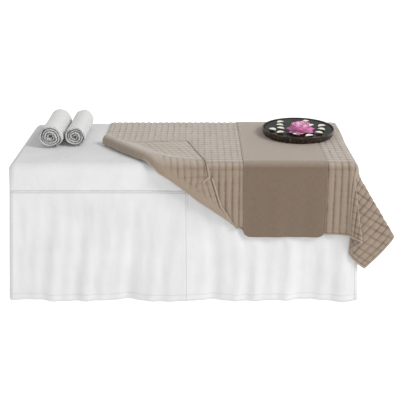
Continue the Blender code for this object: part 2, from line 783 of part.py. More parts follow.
def build_quilt_flap():
    """The turned-back corner: a thicker layer on the top, and a strip down the front."""
    over = [
        (-0.460, -0.058),
        (-0.225, -0.345),
        (-0.168, -QUILT_EDGE_Y - QUILT_THICKNESS + 0.001),
        (0.133, -QUILT_EDGE_Y - QUILT_THICKNESS + 0.001),
        (0.085, -0.206),
        (0.027, 0.015),
        (-0.349, 0.044),
        (-0.443, 0.094),
    ]
    overlap = 0.003
    frame = Matrix.Translation(at(0.0, 0.0, QUILT_TOP - overlap))
    flap = plate("quilt_flap_top", over, FLAP_THICKNESS + overlap, frame, None)
    strip = [
        (-0.168, FLAP_THICKNESS),
        (-0.168, -0.022),
        (0.290, -0.366),
        (0.160, -0.073),
        (0.133, FLAP_THICKNESS),
    ]
    out = QUILT_THICKNESS - overlap
    frame = hanging_frame(-1, QUILT_TURN_Z, out)
    return [flap, plate("quilt_flap_front", strip, FLAP_THICKNESS + overlap, frame, None)]


def rounded_tongue(left, right, drop, radius, steps=4):
    """A hanging strip's outline with round lower corners."""
    points = [(right, 0.0), (left, 0.0)]
    for centre, start in ((left + radius, math.pi), (right - radius, 1.5 * math.pi)):
        for step in range(steps + 1):
            angle = start + step * math.pi / 2 / steps
            points.append((centre + radius * math.cos(angle), -drop + radius + radius * math.sin(angle)))
    return points


def build_runner():
    """A plain strip across the table, over the quilt, hanging on both sides."""
    out = QUILT_THICKNESS + GAP
    edge_y = QUILT_EDGE_Y + out + RUNNER_THICKNESS
    flat = Matrix.Translation(at(0.0, 0.0, RUNNER_BOTTOM))
    top = [(RUNNER_LEFT, -edge_y), (RUNNER_RIGHT, -edge_y), (RUNNER_RIGHT, edge_y), (RUNNER_LEFT, edge_y)]
    runner = plate("runner", top, RUNNER_THICKNESS, flat, "brown_linen")
    sides = []
    for face in (-1, 1):
        left, right = ordered(-face * RUNNER_LEFT, -face * RUNNER_RIGHT)
        outline = rounded_tongue(left, right, RUNNER_DROP, RUNNER_CORNER)
        frame = hanging_frame(face, RUNNER_TOP - 0.0002, out)
        sides.append(plate(f"runner_{FACE_NAME[face]}", outline, RUNNER_THICKNESS, frame, None))
    boolean(runner, "UNION", sides)


# ---- Towels and flower dish ---------------------------------------------------------------


def build_towel(name, centre_x, radius, front, length):
    """A towel rolled up across the table, a little flat where it rests."""
    rest = 0.90 * radius  # axis above the cover: the underside is pressed flat
    start = at(centre_x, front, COVER_TOP + GAP + rest)
    end = start + Vector((0.0, length, 0.0))
    towel = rod(name, start, end, radius, "white_terry", 32)
    for vertex in towel.data.vertices:
        vertex.co.z = max(vertex.co.z, COVER_TOP + GAP)


def build_dish():
    """A shallow round dish with a thick wall that leans in towards its foot."""
    outer = DISH_RADIUS
    foot = outer - 0.014
    inner = outer - DISH_WALL
    base = DISH_WALL
    profile = [
        (0.0, base),
        (foot - 0.014, base),
        (foot - 0.006, base + 0.006),
        (inner, DISH_HEIGHT - 0.001),
        (inner + 0.003, DISH_HEIGHT),
        (outer - 0.003, DISH_HEIGHT),
        (outer, DISH_HEIGHT - 0.003),
        (outer - 0.001, DISH_HEIGHT - 0.012),
        (foot + 0.003, 0.005),
        (foot - 0.003, 0.0),
        (0.0, 0.0),
    ]
    turned("flower_dish", profile, "dark_marble", 48, at(DISH_X, DISH_Y, DISH_BOTTOM))


def build_water():
    foot = DISH_RADIUS - 0.014
    low, high = foot - 0.0155, DISH_RADIUS - DISH_WALL - 0.0045
    profile = [(0.0, WATER_DEPTH), (high, WATER_DEPTH), (foot - 0.0068, 0.0062), (low, 0.0), (0.0, 0.0)]
    turned("dish_water", profile, "water", 48, at(DISH_X, DISH_Y, WATER_BOTTOM))


def build_lotus():
    """The flower's outer form, floating on the water: a low wide cup."""
    radius, height = LOTUS_RADIUS, LOTUS_HEIGHT
    profile = [
        (0.0, 0.55 * height),
        (0.35 * radius, 0.60 * height),
        (0.62 * radius, height),
        (0.80 * radius, 0.72 * height),
        (radius, 0.30 * height),
        (0.92 * radius, 0.05 * height),
        (0.50 * radius, 0.0),
        (0.0, 0.0),
    ]
    turned("lotus_flower", profile, "pink_petals", 20, at(LOTUS_X, LOTUS_Y, WATER_TOP + GAP))


# ---- Assembly -----------------------------------------------------------------------------


def build_table():
    centre_fold = empty("centre_fold", at(0.0, 0.0, HINGE_Z))
    for side, fold in ((-1, None), (1, centre_fold)):
        build_frame(side, fold)
        build_pad(side, fold)
        build_legs(side, fold)
        build_handle(side, fold)
        for face in (-1, 1):
            build_hinge_leaf(side, face, fold)
    for face in (-1, 1):
        build_hinge_pin(face)
        build_catch_hook(face)
        build_catch_screw(face)
        build_catch_stud(face, centre_fold)


def build_dressing():
    build_cover_cap()
    for side in (-1, 1):
        build_end_skirt(side)
        for face in (-1, 1):
            build_side_skirt(side, face)
    build_quilt()
    build_runner()
    for name, sizes in TOWELS.items():
        build_towel(name, *sizes)
    build_dish()
    build_water()
    build_lotus()


build_table()
build_dressing()
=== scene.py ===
"""The looks of the portable massage table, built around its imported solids.

Metres, +Z up, +X along the table, -Y towards the side that is seen.
Cloth is laid out in flat coordinates: u along the table and v across it, from the table's centre.
"""

from math import cos, pi, radians, sin, tau

import bmesh
import bpy
import numpy as np
from mathutils import Matrix, Vector


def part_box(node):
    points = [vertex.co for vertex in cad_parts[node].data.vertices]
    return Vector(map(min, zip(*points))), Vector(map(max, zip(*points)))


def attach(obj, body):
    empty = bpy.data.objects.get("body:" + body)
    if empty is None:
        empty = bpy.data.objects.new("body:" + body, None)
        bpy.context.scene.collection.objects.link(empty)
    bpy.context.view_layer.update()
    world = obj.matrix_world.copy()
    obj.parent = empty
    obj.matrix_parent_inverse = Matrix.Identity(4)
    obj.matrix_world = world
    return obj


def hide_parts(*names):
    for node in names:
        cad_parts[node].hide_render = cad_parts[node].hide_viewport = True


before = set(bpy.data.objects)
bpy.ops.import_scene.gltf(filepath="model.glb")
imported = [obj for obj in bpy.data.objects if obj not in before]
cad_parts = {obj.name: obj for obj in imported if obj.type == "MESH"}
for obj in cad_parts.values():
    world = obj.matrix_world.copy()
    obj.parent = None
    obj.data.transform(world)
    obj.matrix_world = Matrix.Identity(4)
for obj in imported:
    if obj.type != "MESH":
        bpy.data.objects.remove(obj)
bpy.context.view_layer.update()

# ---- Places and sizes, read from the frame ----

CAP_LOW, CAP_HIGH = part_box("cover_cap")
MID_X = (CAP_LOW.x + CAP_HIGH.x) / 2
HALF_X = (CAP_HIGH.x - CAP_LOW.x) / 2
HALF_Y = (CAP_HIGH.y - CAP_LOW.y) / 2
TOP = CAP_HIGH.z
SEAM = CAP_LOW.z
SKIRT_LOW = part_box("skirt_front_left")[0]
HEM = SKIRT_LOW.z
FLARE = -SKIRT_LOW.y - HALF_Y
RUNNER_LOW, RUNNER_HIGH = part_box("runner")
WATER_LOW, WATER_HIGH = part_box("dish_water")
LOTUS_LOW, LOTUS_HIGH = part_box("lotus_flower")
DISH_LOW, DISH_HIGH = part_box("flower_dish")

# Cloth
EDGE = 0.044  # rounding of the covered table's edges
REAR_EDGE = 0.016
LEAN = radians(2.4)  # of cloth that hangs with the flared skirt
COTTON = 0.003
QUILT_LEFT = -0.465
QUILT_SIDE_DROP = 0.376
QUILT_END_DROP = 0.420
QUILT_RIGHT = HALF_X + QUILT_END_DROP
QUILT_REACH = HALF_Y + QUILT_SIDE_DROP
CELL = 0.0364  # one stitched square of the quilt
BATTING = 0.0024
LOFT = 0.0078  # how far a square puffs up above its stitches
UNDERSIDE = 0.0005  # the quilt's lower face above the cover
BINDING = 0.010
RUNNER_THICKNESS = 0.0018
RUNNER_HEIGHT = 0.0121  # its upper face above the cover
RUNNER_CORNER = 0.042
RUNNER_SIDE_DROP = 0.387
WATER_LEVEL = DISH_HIGH.z - 0.0035  # brim-full

PIPING_RADIUS = 0.0022
LEVEL = 0.92  # upward part of the normal at which cloth has its whole painted top light
FADE = 0.40  # how far below that its painted top light ends

COARSE = 1


def smooth_step(t):
    t = np.clip(t, 0.0, 1.0)
    return t * t * (3 - 2 * t)


def eased(knots, values, samples, width):
    """Values read off the straight runs between knots, rounded over that width."""
    knots = np.asarray(knots, float)
    values = np.asarray(values, float).reshape(len(knots), -1)
    steps = np.linspace(knots[0], knots[-1], 401)
    pad = 100
    spacing = steps[1] - steps[0]
    kernel = np.exp(-0.5 * (np.arange(-pad, pad + 1) * spacing / width) ** 2)
    kernel /= kernel.sum()
    columns = []
    for column in values.T:
        line = np.interp(steps, knots, column)
        before = 2 * line[0] - line[pad:0:-1]
        after = 2 * line[-1] - line[-2 : -pad - 2 : -1]
        line = np.convolve(np.concatenate([before, line, after]), kernel, "valid")
        columns.append(np.interp(samples, steps, line))
    return np.stack(columns, axis=-1)


# ---- Meshes ----


def mesh_object(name, points, faces, finish, uv=None, values=None, smooth=True):
    """A new mesh object with an optional UV and named numbers for each point."""
    mesh = bpy.data.meshes.new(name)
    points = np.asarray(points, float).reshape(-1, 3)
    mesh.from_pydata(points.tolist(), [], np.asarray(faces).tolist())
    loops = np.empty(len(mesh.loops), np.int32)
    mesh.loops.foreach_get("vertex_index", loops)
    if uv is not None:
        layer = mesh.uv_layers.new(name="Flat")
        layer.data.foreach_set("uv", np.asarray(uv, np.float32).reshape(-1, 2)[loops].ravel())
    for key, numbers in (values or {}).items():
        layer = mesh.attributes.new(key, "FLOAT", "POINT")
        layer.data.foreach_set("value", np.asarray(numbers, np.float32).ravel())
    mesh.polygons.foreach_set("use_smooth", np.full(len(mesh.polygons), smooth))
    mesh.materials.append(finish)
    mesh.validate()
    made = bpy.data.objects.new(name, mesh)
    bpy.context.scene.collection.objects.link(made)
    return made


def grid_faces(rows, columns, closed=False):
    """Quads between the points of a grid, each row of which may close on itself."""
    index = np.arange(rows * columns).reshape(rows, columns)
    if closed:
        index = np.concatenate([index, index[:, :1]], axis=1)
    corners = [index[:-1, :-1], index[1:, :-1], index[1:, 1:], index[:-1, 1:]]
    return np.stack([c.ravel() for c in corners], axis=1)


def grid_object(name, points, finish, uv=None, values=None, closed=False):
    faces = grid_faces(*points.shape[:2], closed=closed)
    return mesh_object(name, points, faces, finish, uv, values)


def merge_close(made, distance=1e-5):
    """Welds points that coincide and drops what they leave without area."""
    shape = bmesh.new()
    shape.from_mesh(made.data)
    bmesh.ops.remove_doubles(shape, verts=shape.verts, dist=distance)
    bmesh.ops.dissolve_degenerate(shape, edges=shape.edges, dist=distance)
    loose = [v for v in shape.verts if not v.link_faces]
    bmesh.ops.delete(shape, geom=loose, context="VERTS")
    shape.to_mesh(made.data)
    shape.free()
    return made


def face_outward(made):
    shape = bmesh.new()
    shape.from_mesh(made.data)
    bmesh.ops.recalc_face_normals(shape, faces=shape.faces)
    shape.to_mesh(made.data)
    shape.free()


def thicken(made, thickness, offset=-1.0):
    """Cloth thickness behind the outer face."""
    solid = made.modifiers.new("Thickness", "SOLIDIFY")
    solid.thickness = thickness
    solid.offset = offset


def shell(outer, inner, faces):
    """A closed sheet's points and faces, from two layers of points that share their faces."""
    count = len(outer)
    starts = faces.ravel()
    ends = np.roll(faces, -1, axis=1).ravel()
    free = ~np.isin(ends * count + starts, starts * count + ends)
    a, b = starts[free], ends[free]
    rim = np.stack([b, a, a + count, b + count], axis=1)
    return np.concatenate([outer, inner]), np.concatenate([faces, faces[:, ::-1] + count, rim])


def lines(start, end, step, extra=()):
    """Even positions from start to end, with extra ones where the shape changes quickly."""
    count = max(2, int(round((end - start) / step)) + 1)
    even = np.linspace(start, end, count)
    extra = np.array([e for e in extra if start < e < end], float)
    if len(extra):
        far = np.abs(even[:, None] - extra[None, :]).min(axis=1) > 0.0012
        far[[0, -1]] = True
        even = even[far]
    return np.unique(np.concatenate([even, extra]))


def groove(distance, depth=0.0016, width=0.0024):
    return -depth * np.exp(-((distance / width) ** 2))


def hash_noise(i, j):
    """A fixed number from 0 to 1 for each whole-number pair."""
    mixed = np.sin(i * 127.1 + j * 311.7) * 43758.5453
    return mixed - np.floor(mixed)


def value_noise(x, y, scale):
    """Smooth noise from -1 to 1 over features of that size."""
    x, y = np.asarray(x) / scale, np.asarray(y) / scale
    i, j = np.floor(x), np.floor(y)
    s, t = smooth_step(x - i), smooth_step(y - j)
    low = hash_noise(i, j) * (1 - s) + hash_noise(i + 1, j) * s
    high = hash_noise(i, j + 1) * (1 - s) + hash_noise(i + 1, j + 1) * s
    return 2 * (low * (1 - t) + high * t) - 1


# ---- Node materials: each ..._links function gives colour, normal and roughness ----


def rgb(red, green, blue):
    """A linear colour from screen values out of 255."""
    shares = (c / 255 for c in (red, green, blue))
    return tuple(c / 12.92 if c < 0.04 else ((c + 0.055) / 1.055) ** 2.4 for c in shares)


def node(tree, kind, inputs=(), **settings):
    made = tree.nodes.new("ShaderNode" + kind)
    for key, value in settings.items():
        setattr(made, key, value)
    for key, value in dict(inputs).items():
        if isinstance(value, bpy.types.NodeSocket):
            tree.links.new(value, made.inputs[key])
        else:
            made.inputs[key].default_value = value
    return made


def calc(tree, operation, first, second=0.0, third=0.0):
    return node(tree, "Math", {0: first, 1: second, 2: third}, operation=operation).outputs[0]


def scaled(tree, value, gain, base):
    return calc(tree, "MULTIPLY_ADD", value, gain, base)


def here(tree):
    """The place on the object, in metres."""
    return node(tree, "TexCoord").outputs["Object"]


def on_cloth(tree):
    """The place in the piece's flat coordinates."""
    return node(tree, "UVMap", uv_map="Flat").outputs["UV"]


def point_value(tree, name):
    return node(tree, "Attribute", attribute_name=name).outputs["Fac"]


def cells(tree, where, scale, feature="F1"):
    made = node(tree, "TexVoronoi", {"Vector": where, "Scale": scale}, feature=feature)
    return made.outputs["Distance"]


def noise(tree, where, scale, detail=3.0, rough=0.55):
    inputs = {"Vector": where, "Scale": scale, "Detail": detail, "Roughness": rough}
    return node(tree, "TexNoise", inputs).outputs["Fac"]


def stretched(tree, where, scale):
    return node(tree, "Mapping", {"Vector": where, "Scale": scale}).outputs[0]


def ramp(tree, factor, stops):
    """Colours, each at its position from 0 to 1."""
    made = node(tree, "ValToRGB", {"Fac": factor})
    elements = made.color_ramp.elements
    while len(elements) < len(stops):
        elements.new(0.5)
    for element, (position, colour) in zip(elements, stops):
        element.position = position
        element.color = (*colour, 1.0)
    return made.outputs["Color"]


def blend_colour(tree, factor, first, second):
    made = node(tree, "Mix", {"Factor": factor}, data_type="RGBA")
    for socket, value in ((made.inputs[6], first), (made.inputs[7], second)):
        if isinstance(value, bpy.types.NodeSocket):
            tree.links.new(value, socket)
        else:
            socket.default_value = (*value, 1.0)
    return made.outputs[2]


def bump(tree, height, distance, strength=1.0, after=None):
    inputs = {"Height": height, "Distance": distance, "Strength": strength}
    if after is not None:
        inputs["Normal"] = after
    return node(tree, "Bump", inputs).outputs["Normal"]


def new_material(name, constants, links):
    """A Principled material with constants on its sockets. links(tree) gives what is linked."""
    made = bpy.data.materials.new(name)
    made.use_nodes = True
    tree = made.node_tree
    shader = tree.nodes["Principled BSDF"]
    for key, value in constants.items():
        shader.inputs[key].default_value = value
    for key, socket in zip(("Base Color", "Normal", "Roughness"), links(tree)):
        tree.links.new(socket, shader.inputs[key])
    return made


def threads(tree, where, pitch):
    """A plain weave's height, from 0 to 1, over two flat coordinates."""
    split = node(tree, "SeparateXYZ", {"Vector": where})
    turn = tau / pitch
    across = calc(tree, "SINE", calc(tree, "MULTIPLY", split.outputs[0], turn))
    along = calc(tree, "SINE", calc(tree, "MULTIPLY", split.outputs[1], turn))
    return scaled(tree, calc(tree, "MULTIPLY", across, along), 0.5, 0.5)


def cotton_links(tree):
    place = here(tree)
    flat = on_cloth(tree)
    cloud = noise(tree, place, 5.0)
    plain = ramp(tree, cloud, [(0.35, rgb(216, 216, 217)), (0.65, rgb(222, 222, 222))])
    # Grey along the rows of stitches: painted shade in the stitch grooves.
    painted_stitch_shade = point_value(tree, "stitch")
    colour = blend_colour(tree, painted_stitch_shade, plain, rgb(176, 176, 179))
    crumple = noise(tree, stretched(tree, place, (1.0, 1.0, 0.45)), 14.0, 5.0, 0.6)
    creased = bump(tree, crumple, 0.006, 0.5)
    woven = bump(tree, threads(tree, flat, 0.0016), 0.0002, 0.6, creased)
    slub = noise(tree, stretched(tree, place, (1, 1, 8)), 240.0, 2.0)
    rough = scaled(tree, slub, 0.12, 0.80)
    return colour, woven, rough


def painted_top_light_share(tree):
    """0 where a cloth hangs and 1 where it lies level: the share of painted top light, which draws
    level cloth lighter than hanging cloth.
    """
    facing = node(tree, "TexCoord").outputs["Normal"]
    level = node(tree, "SeparateXYZ", {"Vector": facing}).outputs[2]
    return scaled(tree, level, 1 / FADE, (FADE - LEVEL) / FADE)


def quilt_links(tree):
    place = here(tree)
    flat = on_cloth(tree)
    puff_for_painted_hollow_shade = point_value(tree, "puff")
    edge = point_value(tree, "binding")
    mottle = noise(tree, place, 60.0, 4.0)
    # Darker down into the stitched hollows by the puff height: painted shade, under a random mottle of
    # real tone.
    mottle_and_painted_hollow_shade = scaled(tree, mottle, 0.3, calc(tree, "SUBTRACT", puff_for_painted_hollow_shade, 0.15))
    # A darker copy of the colours for hanging cloth and a lighter one for level cloth: painted side
    # shade and painted top light.
    painted_lit_and_shaded_tones = [ramp(tree, mottle_and_painted_hollow_shade, list(zip((0.0, 0.5, 1.0), t))) for t in (QUILT_PAINTED_SHADED_SIDE, QUILT_PAINTED_LIT_TOP)]
    cloth = blend_colour(tree, painted_top_light_share(tree), *painted_lit_and_shaded_tones)
    bound = blend_colour(tree, edge, cloth, QUILT_BINDING)
    weave = bump(tree, threads(tree, flat, 0.0014), 0.00025, 0.7)
    fuzz = bump(tree, noise(tree, place, 420.0, 2.0), 0.0006, 0.5, weave)
    crease = bump(tree, noise(tree, place, 38.0, 4.0, 0.6), 0.004, 0.5, fuzz)
    rough = scaled(tree, mottle, 0.15, 0.78)
    return bound, crease, rough


def linen_links(tree):
    place = here(tree)
    flat = on_cloth(tree)
    warp = noise(tree, stretched(tree, flat, (900, 40, 1)), 1.0, 2.0)
    weft = noise(tree, stretched(tree, flat, (40, 900, 1)), 1.0, 2.0)
    yarn = calc(tree, "MULTIPLY", calc(tree, "ADD", warp, weft), 0.5)
    shade = ramp(tree, yarn, [(0.35, LINEN_DARK), (0.65, LINEN_LIGHT)])
    # Level linen takes a lighter copy of its colours: painted top light; hanging linen keeps the darker
    # one.
    painted_lit_top = ramp(tree, yarn, [(0.35, LINEN_PAINTED_LIT_TOP_DARK), (0.65, LINEN_PAINTED_LIT_TOP_LIGHT)])
    colour = blend_colour(tree, painted_top_light_share(tree), shade, painted_lit_top)
    speck = bump(tree, yarn, 0.0006, 0.6)
    woven = bump(tree, threads(tree, flat, 0.0018), 0.0003, 0.6, speck)
    soft = bump(tree, noise(tree, place, 9.0, 3.0), 0.003, 0.35, woven)
    rough = scaled(tree, yarn, 0.15, 0.75)
    return colour, soft, rough


def terry_links(tree):
    place = here(tree)
    tuft = noise(tree, place, 150.0, 3.0)
    colour = ramp(tree, tuft, [(0.3, rgb(216, 216, 215)), (0.7, rgb(230, 230, 229))])
    pile = bump(tree, cells(tree, place, 420.0), 0.0015, 0.7)
    nap = bump(tree, tuft, 0.004, 0.6, pile)
    rough = scaled(tree, tuft, 0.1, 0.85)
    return colour, nap, rough


def marble_links(tree):
    place = here(tree)
    bent = node(tree, "TexNoise", {"Vector": place, "Scale": 14.0, "Detail": 4.0}).outputs["Color"]
    moved = node(tree, "Mix", {"Factor": 0.09}, data_type="VECTOR")
    tree.links.new(place, moved.inputs[4])
    tree.links.new(bent, moved.inputs[5])
    edges = cells(tree, moved.outputs[1], 55.0, "DISTANCE_TO_EDGE")
    vein = ramp(tree, edges, [(0.0, rgb(104, 88, 66)), (0.06, rgb(28, 23, 20))])
    spot = noise(tree, place, 70.0, 5.0, 0.7)
    stops = [(0.42, rgb(20, 16, 14)), (0.55, rgb(62, 48, 40)), (0.72, rgb(134, 114, 92))]
    colour = blend_colour(tree, 0.35, ramp(tree, spot, stops), vein)
    rough = scaled(tree, spot, 0.22, 0.22)
    return colour, bump(tree, spot, 0.0006, 0.25), rough


def petal_links(stops):
    """A petal's colour runs along it, from its base to its tip, with fine veins."""

    def links(tree):
        flat = on_cloth(tree)
        split = node(tree, "SeparateXYZ", {"Vector": flat})
        vein = noise(tree, stretched(tree, flat, (3, 60, 1)), 1.0, 2.0)
        along = scaled(tree, vein, 0.22, calc(tree, "SUBTRACT", split.outputs[0], 0.11))
        rough = scaled(tree, vein, 0.2, 0.42)
        ridges = bump(tree, vein, 0.0006, 0.5)
        return ramp(tree, along, stops), ridges, rough

    return links


def wood_links(light, dark, grain):
    """Wood whose grain runs along the long axis given by the grain scale."""

    def links(tree):
        place = here(tree)
        line = stretched(tree, place, grain)
        broad = noise(tree, line, 14.0, 4.0, 0.6)
        fine = noise(tree, line, 110.0, 3.0)
        mixed = scaled(tree, fine, 0.35, calc(tree, "MULTIPLY", broad, 0.65))
        colour = ramp(tree, mixed, [(0.36, dark), (0.62, light)])
        rough = scaled(tree, fine, 0.22, 0.34)
        return colour, bump(tree, mixed, 0.0006, 0.4), rough

    return links


def steel_links(tree):
    place = here(tree)
    brushed = noise(tree, stretched(tree, place, (40, 400, 400)), 1.0, 2.0)
    stain = noise(tree, place, 30.0)
    colour = ramp(tree, stain, [(0.3, rgb(150, 150, 152)), (0.7, rgb(190, 190, 192))])
    rough = scaled(tree, brushed, 0.2, 0.22)
    return colour, bump(tree, brushed, 0.0002, 0.3), rough


def plain_links(cloud, stops, rough, relief, depth):
    """A cloudy colour and roughness over a fine relief, given as (node function, its numbers)."""

    def links(tree):
        place = here(tree)
        clouds = noise(tree, place, *cloud)
        grain = relief[0](tree, place, *relief[1:])
        colour = ramp(tree, clouds, stops)
        return colour, bump(tree, grain, *depth), scaled(tree, clouds, *rough)

    return links


def moulded_links(dark, light, base_rough):
    stops = [(0.4, dark), (0.75, light)]
    return plain_links((22.0, 4.0), stops, (0.2, base_rough), (noise, 380.0, 2.0), (0.0005, 0.4))


# Cloth colours
# Quilt and runner colours come in a lighter copy for level cloth and a darker one for hanging cloth:
# painted top light and painted side shade. The quilt's lists run dark to light from its stitched
# hollows to its puffed tops: painted shade in the hollows.
QUILT_PAINTED_LIT_TOP = [rgb(112, 97, 85), rgb(144, 129, 116), rgb(172, 159, 147)]
QUILT_PAINTED_SHADED_SIDE = [rgb(84, 70, 58), rgb(120, 103, 88), rgb(150, 134, 118)]
QUILT_BINDING = rgb(158, 143, 128)
LINEN_PAINTED_LIT_TOP_LIGHT = rgb(156, 141, 127)
LINEN_PAINTED_LIT_TOP_DARK = rgb(134, 119, 105)
LINEN_LIGHT = rgb(126, 109, 93)
LINEN_DARK = rgb(106, 90, 75)

NAPPED = {"Specular IOR Level": 0.2, "Sheen Weight": 0.95, "Sheen Roughness": 0.45}
COTTON_FINISH = new_material("white_cotton_cloth", {"Specular IOR Level": 0.2}, cotton_links)
QUILT_FINISH = new_material(
    "taupe_quilted_cloth", {**NAPPED, "Sheen Tint": (1, 0.97, 0.93, 1)}, quilt_links
)
LINEN_FINISH = new_material(
    "brown_linen_cloth", {**NAPPED, "Sheen Tint": (1, 0.95, 0.89, 1)}, linen_links
)
TERRY_FINISH = new_material(
    "white_terry_cloth",
    {"Specular IOR Level": 0.1, "Sheen Weight": 0.15, "Sheen Roughness": 0.5},
    terry_links,
)
MARBLE_FINISH = new_material(
    "dark_speckled_marble",
    {"Specular IOR Level": 0.3, "Coat Weight": 0.06, "Coat Roughness": 0.12},
    marble_links,
)
WATER_STOPS = [(0.35, rgb(16, 20, 17)), (0.7, rgb(40, 46, 34))]
WATER_FINISH = new_material(
    "dark_still_water",
    {"IOR": 1.15, "Specular IOR Level": 0.35},
    plain_links((12.0, 3.0), WATER_STOPS, (0.04, 0.02), (noise, 16.0, 1.0), (0.004, 0.25)),
)


def petal_material(name, weight, radius, stops):
    constants = {"Subsurface Weight": weight, "Subsurface Radius": radius, "Specular IOR Level": 0.3}
    return new_material(name, constants, petal_links(stops))


OUTER_PETAL = petal_material(
    "outer_lotus_petal", 0.1, (0.004, 0.001, 0.002),
    [(0.0, rgb(248, 214, 232)), (0.6, rgb(238, 172, 214)), (1.0, rgb(224, 120, 186))],
)
INNER_STOPS = [(0.0, rgb(252, 240, 246)), (0.6, rgb(248, 224, 237))]
INNER_STOPS += [(0.85, rgb(240, 184, 216)), (1.0, rgb(222, 124, 182))]
INNER_PETAL = petal_material("inner_lotus_petal", 0.15, (0.004, 0.002, 0.003), INNER_STOPS)
LOOSE_PETAL = petal_material(
    "cream_loose_petal", 0.1, (0.003, 0.003, 0.002),
    [(0.0, rgb(214, 212, 190)), (0.4, rgb(236, 232, 220)), (1.0, rgb(240, 236, 228))],
)
SEED_STOPS = [(0.0, rgb(226, 198, 90)), (1.0, rgb(236, 214, 120))]
SEED_FINISH = new_material("lotus_seed_pod", {}, petal_links(SEED_STOPS))
BEECH = (rgb(222, 184, 138), rgb(196, 152, 104))
PLY = (rgb(224, 194, 152), rgb(196, 160, 116))
BEECH_ALONG_X, BEECH_ALONG_Y, BEECH_UPRIGHT = (
    new_material(f"beech_{way}", {"Coat Weight": 0.2}, wood_links(*BEECH, grain))
    for way, grain in (("along_x", (1, 9, 9)), ("along_y", (9, 1, 9)), ("upright", (9, 9, 1)))
)
PLY_FINISH = new_material("birch_plywood", {}, wood_links(*PLY, (1, 7, 40)))
VINYL_STOPS = [(0.3, rgb(88, 66, 52)), (0.7, rgb(102, 78, 62))]
VINYL_FINISH = new_material(
    "brown_pad_vinyl",
    {"Coat Weight": 0.1},
    plain_links((7.0,), VINYL_STOPS, (0.2, 0.35), (cells, 620.0), (0.0004, 0.6)),
)
LEATHER_STOPS = [(0.3, rgb(64, 44, 32)), (0.7, rgb(96, 68, 50))]
LEATHER_GRAIN = (cells, 480.0, "DISTANCE_TO_EDGE")
LEATHER_FINISH = new_material(
    "brown_handle_leather",
    {},
    plain_links((24.0, 4.0), LEATHER_STOPS, (0.25, 0.4), LEATHER_GRAIN, (0.0008, 0.5)),
)
STEEL_FINISH = new_material("plated_steel", {"Metallic": 1.0}, steel_links)
RUBBER_LINKS = moulded_links(rgb(24, 24, 24), rgb(52, 51, 50), 0.7)
RUBBER_FINISH = new_material("black_foot_rubber", {}, RUBBER_LINKS)
KNOB_LINKS = moulded_links(rgb(18, 18, 19), rgb(38, 38, 39), 0.35)
KNOB_FINISH = new_material("black_knob_plastic", {}, KNOB_LINKS)

# ---- How cloth lies over the table ----

# Where the quilt hangs from a corner of the table, by angle from the end (0) to the side (90):
# how far it reaches out along the table, out to the side, and down.
CORNER_HANG = {
    0: (0.050, 0.000, 0.417),
    8: (0.100, -0.010, 0.410),
    25: (0.262, 0.010, 0.388),
    46: (0.018, 0.055, 0.582),
    53: (-0.030, 0.035, 0.490),
    67: (0.070, 0.098, 0.430),
    78: (0.014, 0.062, 0.400),
    90: (0.000, 0.049, 0.390),
}


def corner_directions():
    angles = np.array(sorted(CORNER_HANG), float)
    vectors = np.array([CORNER_HANG[int(a)] for a in angles])
    vectors /= np.linalg.norm(vectors, axis=1, keepdims=True)
    samples = np.linspace(0, 90, 181)
    found = eased(angles, vectors, samples, 2.2)
    return np.radians(samples), found / np.linalg.norm(found, axis=1, keepdims=True)


CORNER_ANGLES, CORNER_VECTORS = corner_directions()
TURN_LENGTH = 0.060  # over which cloth goes from the rounded edge into its own hang
EDGE_CHANGE = 0.25  # across the table, over which the front rounding becomes the rear one
SIDE_KICK, SIDE_KICK_SPAN = radians(4.6), 0.06  # more lean of the sides near the corners
END_KICK, END_KICK_SPAN = radians(4.4), 0.10
REAR_EAR = 0.72  # how far the rear corner's cloth reaches along the table, of the front's


def side_ripple(u, reach):
    """Soft vertical waves where the cloth hangs along the sides."""
    wave = 0.5 + 0.3 * np.sin(u * 27.0 + 0.8) + 0.2 * np.sin(u * 61.0 + 2.0)
    calm = smooth_step((HALF_X - 0.02 - np.abs(u)) / 0.12)
    return 0.006 * wave * calm * smooth_step(reach / 0.38)


